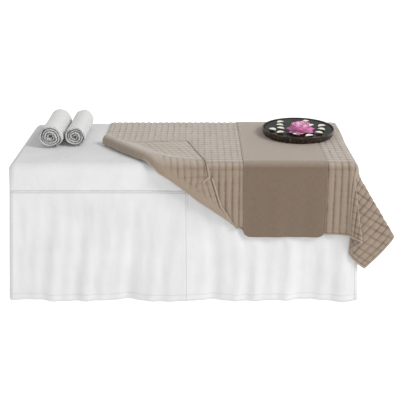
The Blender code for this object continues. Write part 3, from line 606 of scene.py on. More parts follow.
def drape(u, v):
    """Points of cloth that lies on the table and hangs off it, for flat cloth coordinates."""
    edge = EDGE + (REAR_EDGE - EDGE) * smooth_step(v / EDGE_CHANGE)
    inner_x, inner_y = HALF_X - edge, HALF_Y - edge
    over_x = np.maximum(np.abs(u) - inner_x, 0)
    over_y = np.maximum(np.abs(v) - inner_y, 0)
    reach = np.hypot(over_x, over_y)
    angle = np.arctan2(over_y, over_x)
    from_end = np.maximum(inner_x - np.abs(u), 0)
    from_side = np.maximum(inner_y - np.abs(v), 0)
    side_lean = LEAN + SIDE_KICK * np.exp(-from_end / SIDE_KICK_SPAN)
    end_lean = LEAN + END_KICK * np.exp(-from_side / END_KICK_SPAN)
    share = np.sin(angle) ** 2
    lean = side_lean * share + end_lean * (1 - share)
    out = np.stack([np.cos(angle), np.sin(angle), np.zeros_like(angle)], axis=-1)
    down = np.array([0.0, 0.0, -1.0])
    turned = np.minimum(reach / edge, pi / 2 - lean)[..., None]
    arc = edge[..., None] * (np.sin(turned) * out + (1 - np.cos(turned)) * down)
    rest = np.maximum(reach - edge * (pi / 2 - lean), 0)
    leaving = np.sin(lean)[..., None] * out + np.cos(lean)[..., None] * down
    corner = np.stack([np.interp(angle, CORNER_ANGLES, c) for c in CORNER_VECTORS.T], axis=-1)
    corner[..., 2] *= -1
    corner[..., 0] *= np.where(v > 0, REAR_EAR, 1.0)
    in_corner = ((over_x > 0) & (over_y > 0))[..., None]
    hang = np.where(in_corner, corner, leaving)
    t = np.minimum(rest / TURN_LENGTH, 1)
    late = TURN_LENGTH * (t**3 - t**4 / 2) + np.maximum(rest - TURN_LENGTH, 0)
    gone = arc + (rest - late)[..., None] * leaving + late[..., None] * hang
    gone += (side_ripple(u, over_y) * (over_y > 0))[..., None] * out
    signs = np.stack([np.sign(u), np.sign(v), np.ones_like(u)], axis=-1)
    flat_u, flat_v = np.clip(u, -inner_x, inner_x), np.clip(v, -inner_y, inner_y)
    base = np.stack([flat_u, flat_v, np.full_like(u, TOP)], axis=-1)
    return base + gone * signs + np.array([MID_X, 0.0, 0.0])


def raised(u, v, height):
    """Points at that height above the draped surface."""
    step = 0.0008
    along = drape(u + step, v) - drape(u - step, v)
    across = drape(u, v + step) - drape(u, v - step)
    normal = np.cross(along, across)
    normal /= np.maximum(np.linalg.norm(normal, axis=-1, keepdims=True), 1e-12)
    return drape(u, v) + np.asarray(height)[..., None] * normal


# ---- White cover ----

SEAM_STITCH = 0.0030  # the cap's row of stitches above the seam
SKIRT_STITCH = 0.0088  # the skirt's row of stitches below the seam
HEM_STITCH = 0.036  # the skirt's row of stitches above the hem
STITCH_DEPTH = 0.0016
STITCH_LINES = (-0.0035, -0.0018, 0, 0.0018, 0.0035)  # mesh lines across a row of stitches
CORNER_ROUND = 0.016


def rounded_loop(half_x, half_y, radius, counts):
    """Points round a rectangle with round corners: counts along x, along y and round a corner."""
    radius = min(radius, half_x, half_y)
    x, y = half_x - radius, half_y - radius
    corners = [(x, -y), (x, y), (-x, y), (-x, -y)]
    starts = [(-x, -half_y), (half_x, -y), (x, half_y), (-half_x, y)]
    ends = [(x, -half_y), (half_x, y), (-x, half_y), (-half_x, -y)]
    points = []
    for turn, (corner, start, end) in enumerate(zip(corners, starts, ends)):
        part = np.linspace(0, 1, counts[turn % 2], endpoint=False)[:, None]
        points.append(np.array(start) * (1 - part) + np.array(end) * part)
        angle = pi / 2 * (turn - 1) + np.linspace(0, pi / 2, counts[2], endpoint=False)
        points.append(corner + radius * np.stack([np.cos(angle), np.sin(angle)], axis=1))
    return np.concatenate(points)


def cap_profile():
    """(inset from the side, height) from the middle of the top down to the seam."""
    flat = [(inset, TOP) for inset in lines(0.0, HALF_Y - EDGE, 0.016 * COARSE)[::-1] + EDGE]
    turns = np.linspace(0, pi / 2, 12)[1:]
    edge = [(EDGE * (1 - sin(a)), TOP - EDGE * (1 - cos(a))) for a in turns]
    fine = [SEAM + SEAM_STITCH + d for d in STITCH_LINES] + [SEAM + 0.0012]
    side = [(0.0, z) for z in lines(SEAM, TOP - EDGE, 0.013 * COARSE, fine)[::-1][1:]]
    return flat + edge + side


def sharpen_rear(points):
    """Tightens the rounding along the rear edge, away from the corners."""
    x, y, z = points[..., 0], points[..., 1], points[..., 2]
    across, up = y - (HALF_Y - EDGE), z - (TOP - EDGE)
    weight = smooth_step((HALF_X - EDGE - np.abs(x)) / 0.04) * (across >= 0) * (up >= 0)
    angle = np.arctan2(up, across)
    new_y = HALF_Y - REAR_EDGE * (1 - np.cos(angle))
    new_z = TOP - REAR_EDGE * (1 - np.sin(angle))
    return np.stack([x, y + (new_y - y) * weight, z + (new_z - z) * weight], axis=-1)


def wrinkles(x, y):
    """Slight creases in fitted cotton, never above the surface."""
    broad = value_noise(x, y, 0.19) + 0.6 * value_noise(x + 3.1, y, 0.08)
    return -0.0011 * np.abs(broad)


def build_cover():
    step = 0.0105 * COARSE
    counts = (int(2 * HALF_X / step), int(2 * HALF_Y / step), 8)
    rings, flats = [], []
    for inset, height in cap_profile():
        lower = np.clip((TOP - EDGE - height) / (TOP - EDGE - SEAM), 0, 1)
        radius = max(EDGE + (CORNER_ROUND - EDGE) * lower - inset, 0.0005)
        loop = rounded_loop(HALF_X - inset, HALF_Y - inset, radius, counts)
        rings.append(np.column_stack([loop, np.full(len(loop), height)]))
        flats.append(loop * (1 + (TOP - height)))
    points = np.array(rings)
    x, y, z = (points[..., axis] for axis in range(3))
    settle = smooth_step((HALF_Y - np.abs(y)) / 0.05) * smooth_step((HALF_X - np.abs(x)) / 0.05)
    z += np.where(z > TOP - 1e-6, wrinkles(x, y) * settle, 0)
    points = sharpen_rear(points)
    x, y, z = (points[..., axis] for axis in range(3))
    core = np.array([HALF_X - 0.03, HALF_Y - 0.03])
    out = points[..., :2] - np.clip(points[..., :2], -core, core)
    out /= np.maximum(np.linalg.norm(out, axis=-1, keepdims=True), 1e-9)
    run = x + y
    drop = np.clip((TOP - EDGE - z) / 0.03, 0, 1) * np.clip((z - SEAM) / 0.03, 0.15, 1)
    dents = -0.0022 * np.abs(value_noise(run, z * 0.6, 0.055))
    dents -= 0.0016 * np.abs(value_noise(run + 7, z, 0.13))
    stitches = groove(z - SEAM - SEAM_STITCH) + groove(z - SEAM, 0.0008, 0.0015)
    points[..., :2] += out * np.where(z < TOP - EDGE - 1e-4, dents * drop + stitches, 0)[..., None]
    x += MID_X
    # Grey along the cap's stitched row: painted shade in its groove.
    painted_stitch_shade = {"stitch": np.exp(-(((z - SEAM - SEAM_STITCH) / 0.0016) ** 2))}
    made = grid_object("fitted_cover", points, COTTON_FINISH, np.array(flats), painted_stitch_shade, closed=True)
    merge_close(made)
    thicken(made, COTTON)
    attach(made, "cover")
    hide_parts("cover_cap")


# ---- Skirt ----

HEM_SWAY = 0.020  # how far the hem's broadest waves stand out
FOLD_DEPTH = 0.0125  # of the folds at the hem, either way from where they are set back to
FOLD_SET_BACK = 0.0075
CRINKLE_DEPTH = 0.0017
PUCKER_DEPTH = 0.0012  # of the gathers just below the seam


def skirt_folds(along, depth, phase):
    """Broad soft folds that deepen towards the hem, set back inwards on the whole."""
    drift = along + 0.03 * np.sin(3 * depth + phase)
    wave = 0.42 * np.sin(drift * 21.0 + phase) + 0.32 * np.sin(drift * 38.0 + 2.1 * phase)
    wave += 0.26 * np.sin(drift * 67.0 + 0.7 * phase)
    grown = 0.22 * smooth_step(depth / 0.12) + 0.78 * depth
    crinkle = value_noise(along + phase, depth * 0.16, 0.040)
    crinkle += 0.6 * value_noise(along - phase, depth * 0.10, 0.021)
    pucker = PUCKER_DEPTH * value_noise(along, depth * 0.3, 0.013) * np.exp(-depth / 0.07)
    sway = 0.5 + 0.5 * np.sin(along * 12.3 + 2.8)
    folded = (FOLD_DEPTH * wave - FOLD_SET_BACK) * grown
    creased = CRINKLE_DEPTH * (crinkle - 0.5) * np.minimum(depth * 6, 1)
    return folded + creased + pucker + HEM_SWAY * sway * depth**2.5


def hem_height(along, phase):
    return HEM + 0.0030 + 0.0018 * np.sin(along * 9.0 + phase) + 0.0012 * np.sin(along * 23.0 - phase)


def skirt_rows():
    """Rows from the seam to the hem, with the hem's row of stitches."""
    length = SEAM - HEM
    fine = [SKIRT_STITCH + d for d in STITCH_LINES] + [0.0012]
    fine += [length - HEM_STITCH + d for d in (-0.004, -0.002, 0, 0.002, 0.004)]
    return lines(0.0, length, 0.014 * COARSE, fine), length - HEM_STITCH


def skirt_columns(start, end):
    seam = np.array([0.004, 0.006, 0.008, 0.010, 0.012])
    return lines(start, end, 0.0095 * COARSE, [*(start + seam), *(end - seam)])


def skirt_stitches(across, width, down, hem_row):
    """Depth of the rows of stitches along both edges, the seam and the hem."""
    edge = np.minimum(across, width - across)
    dips = groove(edge - 0.008, 0.0010, 0.0018) + groove(down - SKIRT_STITCH, STITCH_DEPTH, 0.0018)
    return dips + groove(down - hem_row, 0.0006, 0.0022)


def finish_skirt(name, node_name, points, stitches, s, d, mirrored):
    """Makes a skirt panel from its grid; s and d are its flat coordinates."""
    uv = np.stack([s, -d], axis=-1)
    if mirrored:
        points, uv, stitches = points[:, ::-1], uv[:, ::-1], stitches[:, ::-1]
    # Grey by the depth of the stitch grooves: painted shade.
    painted_stitch_shade = {"stitch": -stitches / STITCH_DEPTH}
    made = grid_object(name, points, COTTON_FINISH, uv, painted_stitch_shade)
    thicken(made, COTTON)
    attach(made, "cover")
    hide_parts(node_name)


def build_side_skirt(side, half):
    """A panel along one side: side is -1 in front, 1 at the rear; half is -1 left, 1 right."""
    down, hem_row = skirt_rows()
    tuck = 0.012
    overlap = 0.022 if half < 0 else 0.006
    length = HALF_X - tuck + overlap
    across = skirt_columns(0.0, length)
    s, d = np.meshgrid(across, down)
    depth = d / down[-1]
    phase = 1.3 + 2.2 * half + 0.9 * side
    along = half * (s - overlap) * (1 + FLARE * depth / HALF_X)
    near_centre = np.exp(-(((s - overlap) / 0.12) ** 2))
    layer = (0.0035 * near_centre if half < 0 else -0.0008) * np.minimum(depth * 20, 1)
    out = HALF_Y + FLARE * depth + skirt_folds(along, depth, phase) * (1 - 0.6 * near_centre)
    stitches = skirt_stitches(s, length, d, hem_row)
    out += layer + stitches + 0.006 * near_centre * depth**3
    corner = smooth_step((length - s) / 0.06)
    out = out * corner + (HALF_Y + FLARE * depth) * (1 - corner)
    z = SEAM - d * (SEAM - hem_height(along, phase)) / down[-1]
    points = np.stack([MID_X + along, side * out, z], axis=-1)
    name = ("front" if side < 0 else "rear") + ("_left" if half < 0 else "_right")
    mirrored = side * half > 0
    finish_skirt(f"{name}_skirt_cloth", f"skirt_{name}", points, stitches, s, d, mirrored)


def build_end_skirt(end):
    """The skirt across one end, wrapped a little way round both corners."""
    down, hem_row = skirt_rows()
    wrap = 0.018
    inset = 0.0042
    straight = HALF_Y - CORNER_ROUND
    turn = CORNER_ROUND * pi / 2
    half_width = straight + turn + wrap
    across = skirt_columns(-half_width, half_width)
    s, d = np.meshgrid(across, down)
    depth = d / down[-1]
    run = np.abs(s) - straight
    angle = np.clip(run / CORNER_ROUND, 0, pi / 2)
    ahead = np.maximum(run - turn, 0)
    phase = 0.6 + 1.7 * end
    folds = skirt_folds(s, depth, phase) * smooth_step(-run / 0.05)
    stitches = skirt_stitches(s + half_width, 2 * half_width, d, hem_row) * (ahead <= 0)
    folds += stitches
    round_x = HALF_X + FLARE * depth - CORNER_ROUND
    round_y = straight + FLARE * depth - inset
    x = round_x + (CORNER_ROUND + folds) * np.cos(angle) - ahead
    stretch = np.clip(np.abs(s) / straight, 0, 1)
    y = np.sign(s) * (round_y * stretch + CORNER_ROUND * np.sin(angle))
    z = SEAM - d * (SEAM - hem_height(s, phase)) / down[-1]
    points = np.stack([MID_X + end * x, y, z], axis=-1)
    name = "left" if end < 0 else "right"
    finish_skirt(f"{name}_end_skirt_cloth", f"skirt_{name}_end", points, stitches, s, d, end < 0)


# ---- Quilt ----

# The fold along which the front left corner is turned back, in flat coordinates.
FOLD_U = [-0.465, -0.352, -0.238, -0.175, -0.043, 0.091, 0.205, 0.293]
FOLD_V = [-0.058, -0.203, -0.328, -0.388, -0.477, -0.587, -0.663, -0.734]
FOLD_END = FOLD_U[-1]
ROLL_U = [-0.465, -0.300, -0.100, 0.100, 0.293]
ROLL_RADIUS = [0.0320, 0.0310, 0.0260, 0.0200, 0.0090]
FLAP_CELL = 0.0350
FLAP_LIE = 0.0185  # outer face of the turned-back corner above the cover
STRIP_LIE = 0.0145
FLAP_LOFT = 0.0088
FLAP_DEPTH = 0.0068  # between the turned-back corner's outer and inner layer


def fold_line(u):
    return eased(FOLD_U, FOLD_V, np.clip(u, FOLD_U[0], FOLD_END), 0.018)[..., 0]


def fold_slope(u):
    return (fold_line(u + 0.004) - fold_line(u - 0.004)) / 0.008


def roll_radius(u):
    return eased(ROLL_U, ROLL_RADIUS, np.clip(u, ROLL_U[0], FOLD_END), 0.03)[..., 0]


def front_bound(u):
    """Where the quilt's main sheet ends at the front: inside the roll, then along its hem."""
    inside = fold_line(u) + 0.85 * roll_radius(u) * np.sqrt(1 + fold_slope(u) ** 2)
    hem = -QUILT_REACH + (QUILT_REACH + FOLD_V[-1]) * smooth_step((0.372 - u) / (0.372 - FOLD_END))
    share = smooth_step((u - FOLD_END + 0.012) / 0.012)
    return inside * (1 - share) + hem * share


def pillow(position):
    """0 on a stitch line and 1 in the middle of a square, with steep sides."""
    return np.abs(np.sin(pi * position)) ** 0.8


def puffs(u, v, strength_u, strength_v):
    """Height of quilted squares from 0 to 1, with deeper dimples where stitch lines cross."""
    groove_u = (1 - pillow(u)) * strength_u * (0.78 + 0.22 * value_noise(u, v, 1.3))
    groove_v = (1 - pillow(v)) * strength_v * (0.78 + 0.22 * value_noise(u + 50, v, 1.3))
    lively = 0.86 + 0.14 * hash_noise(np.floor(u), np.floor(v))
    return (1 - 0.62 * np.maximum(groove_u, groove_v) - 0.38 * groove_u * groove_v) * lively


def quilt_lines(start, end):
    """Grid positions that crowd towards the stitch lines of each square."""
    count = int(round((end - start) / CELL))
    parts = ((0.0, 0.08, 0.2, 0.35, 0.5, 0.65, 0.8, 0.92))
    cells = np.concatenate([[n + p for p in parts] for n in range(count)] + [[count]])
    return start + cells / count * (end - start), cells


def hem_band(inward, relief):
    """A flat rounded binding along the hem, then the quilted relief. Returns height and binding."""
    roll = np.sin(pi * np.clip(inward / BINDING, 0, 1)) ** 0.5
    band = inward < BINDING
    height = np.where(band, 0.75 * roll, relief * smooth_step((inward - BINDING) / 0.006))
    return height, np.where(band, 1.0, 0.0)


def main_sheet():
    """Points, flat coordinates, faces and point values of the quilt's main sheet."""
    us, cells_u = quilt_lines(QUILT_LEFT, QUILT_RIGHT)
    vs, cells_v = quilt_lines(-QUILT_REACH, QUILT_REACH)
    u, v = np.meshgrid(us, vs, indexing="ij")
    pattern_u, pattern_v = np.meshgrid(cells_u, cells_v, indexing="ij")
    bound = front_bound(u)
    cut = v < bound - 1e-9
    v = np.maximum(v, bound)
    over_side = smooth_step((np.abs(v) - HALF_Y) / 0.02)
    over_end = smooth_step((u - HALF_X) / 0.02)
    on_top = (1 - over_side) * (1 - over_end)
    strength_v = 1 - 0.66 * over_side * (1 - over_end) - 0.22 * on_top
    strength_u = 1.15 - 0.55 * over_end * (1 - over_side)
    relief = puffs(pattern_u, pattern_v, strength_u, strength_v)
    side_edge = np.minimum(np.minimum(u - QUILT_LEFT, QUILT_RIGHT - u), QUILT_REACH - v)
    front_edge = np.where(u > FOLD_END, v - bound, 1.0)
    height, binding = hem_band(np.minimum(side_edge, front_edge), relief)
    points = raised(u, v, BATTING + LOFT * height)
    inner = raised(u, v, np.full(u.shape, UNDERSIDE))
    faces = grid_faces(*u.shape)
    gone = cut.ravel()[faces].all(axis=1)
    flat = np.stack([u, v], axis=-1).reshape(-1, 2)
    layers = points.reshape(-1, 3), inner.reshape(-1, 3)
    return *layers, flat, faces[~gone], height.ravel(), binding.ravel()


def turned_sheet(fold_u, tips, lie, pattern, hem_gap, hem=None):
    """Part of the turned-back corner: lines run from the fold, round its roll, up to their tips.

    fold_u and tips give each line's two ends. pattern(u, v) gives the relief's cell coordinates,
    and hem_gap(u, v) the distance to the nearest free hem. Where hem is given, the last line
    follows it and the ones before it move part of the way.
    """
    start = np.stack([fold_u, fold_line(fold_u)], axis=-1)
    run = tips - start
    length = np.linalg.norm(run, axis=1)
    heading = run / np.maximum(length, 1e-9)[:, None]
    slope = fold_slope(fold_u)
    along = np.stack([np.ones_like(slope), slope], axis=-1) / np.sqrt(1 + slope**2)[:, None]
    sine = np.clip(np.abs(along[:, 0] * heading[:, 1] - along[:, 1] * heading[:, 0]), 0.35, 1)[:, None]
    radius = np.minimum(roll_radius(fold_u), length * sine[:, 0] * 0.45)[:, None]
    turns = np.linspace(-pi / 2, pi / 2, 15)[None, :]
    inward = length[:, None] * sine - radius
    straight = np.linspace(0, 1, 116)[None, 1:]
    beyond = radius + straight * inward
    decay = np.clip(inward, 0.05, 0.13)
    ease = 0.5 * (1 + np.cos(pi * np.clip((beyond - radius) / decay, 0, 1)))
    top = np.maximum(2 * radius, lie)
    stretch = top / (2 * radius)

    def layer(depth):
        """Distance from the fold and height of a layer at that depth inside the cloth."""
        inside = np.minimum(depth, 0.8 * radius)
        clear = np.concatenate([radius - (radius - inside) * np.cos(turns), beyond], axis=1)
        sag = 0.5 + 0.5 * np.sin(turns) * (1 - inside / radius)
        curl = 2 * radius * stretch * sag**1.4
        lift = np.concatenate([curl, lie + (top - lie) * ease - inside], axis=1)
        u = start[:, :1] + heading[:, :1] * clear / sine
        v = start[:, 1:] + heading[:, 1:] * clear / sine
        return u, v, clear, lift

    u, v, clear, lift = layer(0.0)
    shift = np.zeros_like(u)
    if hem is not None:
        weight = smooth_step((np.linspace(0, 1, len(fold_u)) - 0.62) / 0.38)
        shift = weight[:, None] * (np.interp(-v[-1], -hem[:, 1], hem[:, 0]) - u[-1])[None, :]
    u = u + shift
    height, binding = hem_band(hem_gap(u, v), puffs(*pattern(u, v), 1.0, 0.6))
    fade = smooth_step((clear - radius * 0.5) / (0.035 + radius))
    fade[:, : turns.size] *= np.linspace(0, 1, turns.size) ** 2
    points = raised(u, v, lift + FLAP_LOFT * (height - 0.6) * fade)
    inner_u, inner_v, _, inner_lift = layer(FLAP_DEPTH)
    inner = raised(inner_u + shift, inner_v, inner_lift)
    flat = np.stack([u, v], axis=-1).reshape(-1, 2)
    height = 1 - (1 - height) * fade
    layers = points.reshape(-1, 3), inner.reshape(-1, 3)
    return *layers, flat, grid_faces(*u.shape), height.ravel(), (binding * fade).ravel()


def polyline_distance(u, v, corners):
    """Distance from flat points to a line through the corners."""
    best = np.full(u.shape, 9.0)
    for (x0, y0), (x1, y1) in zip(corners[:-1], corners[1:]):
        dx, dy = x1 - x0, y1 - y0
        t = np.clip(((u - x0) * dx + (v - y0) * dy) / (dx * dx + dy * dy), 0, 1)
        best = np.minimum(best, np.hypot(u - x0 - t * dx, v - y0 - t * dy))
    return best


# Outline of the turned-back corner: the edge that was the quilt's left one, then its front hem.
FLAP_BACK = [(-0.412, -0.010), (-0.337, -0.052), (-0.196, -0.040), (-0.080, -0.030), (0.027, -0.023)]
FLAP_HEM = [(0.027, -0.023), (0.085, -0.236), (0.133, -0.385), (0.146, -0.443), (0.112, -0.469)]
FLAP_HEM += [(0.122, -0.532), (0.135, -0.612)]
STRIP_HEM = [(0.092, -0.443), (0.160, -0.446), (0.205, -0.598), (0.293, -0.734)]


def points_along(corners, share):
    """Points at those shares of the length of a line through the corners."""
    corners = np.array(corners)
    length = np.concatenate([[0], np.cumsum(np.linalg.norm(np.diff(corners, axis=0), axis=1))])
    return np.stack([np.interp(share * length[-1], length, column) for column in corners.T], axis=-1)


def flap_sheet():
    share = np.linspace(0, 1, 130 // COARSE)
    fold_u = QUILT_LEFT + share * (FLAP_HEM[-1][0] - QUILT_LEFT)
    hem = np.array(FLAP_HEM)

    def pattern(u, v):
        edge = np.interp(-v, -hem[:, 1], np.maximum.accumulate(hem[:, 0]))
        slant = edge - u + 0.04 * np.sin(np.clip((-v - 0.05) / 0.5, 0, 1) * pi)
        return slant / FLAP_CELL + 0.4, v / CELL

    def hem_gap(u, v):
        return np.minimum(polyline_distance(u, v, FLAP_HEM), polyline_distance(u, v, FLAP_BACK))

    tips = points_along(FLAP_BACK, share)
    return turned_sheet(fold_u, tips, FLAP_LIE, pattern, hem_gap, hem)


def strip_sheet():
    share = np.linspace(0, 1, 60 // COARSE)
    fold_u = 0.02 + share * (FOLD_END - 0.006 - 0.02)
    line = np.array(STRIP_HEM)
    tips = points_along(STRIP_HEM, share)

    def pattern(u, v):
        edge = np.interp(-v, -line[1:, 1], line[1:, 0])
        return (edge - u - 0.012) / 0.030, v / 0.034

    def hem_gap(u, v):
        return polyline_distance(u, v, STRIP_HEM[1:])

    return turned_sheet(fold_u, tips, STRIP_LIE, pattern, hem_gap)


def build_quilt():
    layers, start = [], 0
    for outer, inner, flat, faces, *values in (main_sheet(), flap_sheet(), strip_sheet()):
        points, faces = shell(outer, inner, faces)
        layers.append((points, faces + start, np.tile(flat, (2, 1)), *(np.tile(v, 2) for v in values)))
        start += len(points)
    points, faces, flat, height, binding = (np.concatenate(part) for part in zip(*layers))
    # puff also draws the quilt darker in its stitched hollows: painted shade.
    values = {"puff": np.clip(height * 1.25, 0, 1), "binding": binding}
    made = mesh_object("box_quilt", points, faces, QUILT_FINISH, flat, values)
    merge_close(made)
    made.data.set_sharp_from_angle(angle=radians(60))
    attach(made, "quilt")
    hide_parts("quilt")


# ---- Runner ----


def build_runner():
    left, right = RUNNER_LOW.x - MID_X, RUNNER_HIGH.x - MID_X
    reach = HALF_Y + RUNNER_SIDE_DROP
    stitch = 0.011
    fine = [0.0012, stitch - 0.002, stitch, stitch + 0.002]
    us = lines(left, right, 0.010 * COARSE, [e for f in fine for e in (left + f, right - f)])
    vs = lines(-reach, reach, 0.0065 * COARSE, [e for f in fine for e in (-reach + f, reach - f)])
    turn = [s * (HALF_Y - EDGE + t) for s in (-1, 1) for t in np.linspace(0, 0.024, 7)]
    vs = np.unique(np.round(np.concatenate([vs, turn]), 5))
    u, v = np.meshgrid(us, vs, indexing="ij")
    # Round lower corners: each column ends where the corner's arc does.
    inset = np.maximum(RUNNER_CORNER - np.minimum(u - left, right - u), 0)
    limit = reach - RUNNER_CORNER + np.sqrt(np.maximum(RUNNER_CORNER**2 - inset**2, 0))
    start = reach - 2 * RUNNER_CORNER
    over = np.abs(v) - start
    squeeze = (limit - start) / (2 * RUNNER_CORNER)
    v = np.where(over > 0, np.sign(v) * (start + over * squeeze), v)
    edge = np.minimum(np.minimum(u - left, right - u), limit - np.abs(v))
    show = puffs((u - QUILT_LEFT) / CELL, (v + QUILT_REACH) / CELL, 1.0, 1.0) - 0.8
    height = RUNNER_HEIGHT + 0.0005 * show + groove(edge - stitch, 0.0007, 0.0016)
    height = height + 0.0009 * value_noise(u, v, 0.11) * smooth_step((np.abs(v) - HALF_Y) / 0.05)
    points = raised(u, v, height)
    made = grid_object("linen_runner", points, LINEN_FINISH, np.stack([u, v], axis=-1))
    merge_close(made)
    thicken(made, RUNNER_THICKNESS)
    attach(made, "runner")
    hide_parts("runner")


# ---- Rolled towels ----

TERRY = 0.0105
TOWEL_GAP = 0.0030
TOWEL_CORE = 0.0085
END_TAPER = 0.24  # share of its thickness a layer loses at its very end
TOWEL_END = radians(-62)  # the outer end lies at the lower right, tucked against the table


def build_towel(name, node_name, body, phase):
    low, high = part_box(node_name)
    radius = (high.x - low.x) / 2
    centre = Vector(((low.x + high.x) / 2, (low.y + high.y) / 2, high.z - radius))
    pitch = TERRY + TOWEL_GAP
    outer = radius - TERRY / 2
    turns = (outer - TOWEL_CORE) / pitch
    angle = np.linspace(0, tau * turns, int(64 * turns) // COARSE)
    run = TOWEL_CORE + pitch * angle / tau
    wobble = 0.0012 * np.sin(3 * angle + phase) + 0.0008 * np.sin(5 * angle)
    squeeze = np.minimum(angle / 2, 1) * np.minimum((angle[-1] - angle) / 1.2 + 0.25, 1)
    half = TERRY / 2 * (0.45 + 0.55 * squeeze)
    spin = TOWEL_END + angle[-1] - angle
    turning = np.stack([np.cos(spin), np.sin(spin)], axis=-1)
    core = (run + wobble)[:, None] * turning
    section = np.concatenate([core + half[:, None] * turning, (core - half[:, None] * turning)[::-1]])
    layer = np.concatenate([angle, angle[::-1]]) / tau
    length = high.y - low.y
    rounding = TERRY * 0.3
    turns = np.linspace(pi / 2, 0, 6)
    front = [(rounding * (1 - sin(a)) - length / 2, cos(a)) for a in turns[::-1]][::-1]
    inside = np.linspace(-length / 2 + rounding, length / 2 - rounding, 30 // COARSE)[1:-1]
    stations = front + [(y, 0.0) for y in inside] + [(-y, c) for y, c in front[::-1]]
    middle = np.concatenate([core, core[::-1]])
    points = []
    for y, thin in stations:
        shape = section + (middle - section) * thin * END_TAPER
        swell = 0.0016 * value_noise(layer * 3 + phase, np.full_like(layer, y * 9), 0.35)
        push = 1 + swell / np.maximum(np.linalg.norm(shape, axis=1), 0.01)
        shape *= push[:, None]
        shift = 0.0035 * np.sin(layer * 4.1 + phase) * np.sign(y) + 0.0016 * np.sin(layer * 11.0)
        out = np.abs(y) / (length / 2)
        depth = y + shift * out**6 - 0.004 * np.sign(y) * out**8
        points.append(np.column_stack([shape[:, 0], depth, shape[:, 1]]))
    points = np.array(points)
    floor = (centre.z - low.z - 0.0004) / (radius + 0.003)
    points[..., 2] = np.where(points[..., 2] < 0, points[..., 2] * floor, points[..., 2])
    rows, columns = points.shape[:2]
    faces = grid_faces(rows, columns, closed=True).tolist()
    half_count = columns // 2
    for row, flip in ((0, False), (rows - 1, True)):
        for i in range(half_count - 1):
            a, b = row * columns + i, row * columns + i + 1
            c, d = row * columns + columns - 2 - i, row * columns + columns - 1 - i
            faces.append([a, b, c, d] if not flip else [d, c, b, a])
    uv = np.stack([np.tile(layer, rows), points[..., 1].ravel()], axis=-1)
    made = mesh_object(name, points + np.array(centre), faces, TERRY_FINISH, uv)
    face_outward(made)
    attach(made, body)
    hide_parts(node_name)


# ---- Flower dish ----


def turned_surface(name, profile, centre, finish, steps=128):
    """A closed surface turned about the upright axis: profile holds (radius, height) pairs."""
    profile = np.array(profile)
    angle = np.linspace(0, tau, steps, endpoint=False)
    x = profile[:, :1] * np.cos(angle)
    y = profile[:, :1] * np.sin(angle)
    z = np.repeat(profile[:, 1:], steps, axis=1)
    points = np.stack([x, y, z], axis=-1).reshape(-1, 3) + np.array([centre[0], centre[1], 0])
    faces = grid_faces(len(profile), steps, closed=True)
    uv = np.stack([points[:, 0], points[:, 1] + points[:, 2]], axis=-1)
    made = mesh_object(name, points, faces, finish, uv)
    merge_close(made)
    face_outward(made)
    return made


def arc(centre_r, centre_z, radius, start, end, count):
    turns = np.radians(np.linspace(start, end, count))
    return [(centre_r + radius * cos(a), centre_z + radius * sin(a)) for a in turns]


def dish_centre():
    return ((DISH_LOW.x + DISH_HIGH.x) / 2, (DISH_LOW.y + DISH_HIGH.y) / 2)


def build_dish():
    outer = (DISH_HIGH.x - DISH_LOW.x) / 2
    base, rim = DISH_LOW.z, DISH_HIGH.z
    wall = 0.009
    lip = 0.0035
    floor_z = WATER_LOW.z - 0.0003
    profile = [(0, base), (outer * 0.6, base), (outer - 0.016, base)]
    profile += arc(outer - 0.016, base + 0.010, 0.010, -90, -20, 6)
    profile += [(outer - 0.0012, base + 0.020)]
    profile += arc(outer - lip, rim - lip, lip, 0, 90, 6)
    profile += arc(outer - wall + lip, rim - lip, lip, 90, 180, 6)
    profile += [(outer - wall, floor_z + 0.010)]
    profile += arc(outer - wall - 0.008, floor_z + 0.008, 0.008, 0, -90, 5)
    profile += [(outer * 0.5, floor_z), (0, floor_z)]
    made = turned_surface("marble_dish", profile, dish_centre(), MARBLE_FINISH)
    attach(made, "dish")
    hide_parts("flower_dish")


def build_water():
    radius = (WATER_HIGH.x - WATER_LOW.x) / 2
    low, high = WATER_LOW.z, WATER_LEVEL
    inner = radius - 0.009
    profile = [(0, low), (inner, low)] + arc(inner, low + 0.009, 0.0088, -80, 0, 4)
    profile += [(radius - 0.0002, high)]
    for share in np.linspace(0.98, 0, 22):
        ring = radius * share
        profile.append((ring, high - 0.0006 + 0.0003 * sin(ring * 160) * share))
    made = turned_surface("dish_still_water", profile, dish_centre(), WATER_FINISH, 96)
    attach(made, "dish")
    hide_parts("dish_water")


def petal_points(length, width, cup, curl, rows=14, columns=9):
    """A petal from its base at the origin along +X, cupped across and curled up along its length."""
    s = np.linspace(0, 1, rows)[:, None]
    w = np.linspace(-1, 1, columns)[None, :]
    outline = np.sin(pi * s**0.80) ** 0.62 * (1 - 0.10 * s) + 0.16 * (1 - s) ** 2
    half = width / 2 * outline
    x = length * s * np.ones_like(w)
    y = half * w
    z = cup * (half / (width / 2)) * (w**2) * width / 2 + curl * length * s**2.2
    z = z + 0.02 * length * np.sin(6 * w + 3 * s) * s
    points = np.stack([x, y, z], axis=-1)
    uv = np.stack([s * np.ones_like(w), w * np.ones_like(s)], axis=-1)
    return points.reshape(-1, 3), uv.reshape(-1, 2), grid_faces(rows, columns)


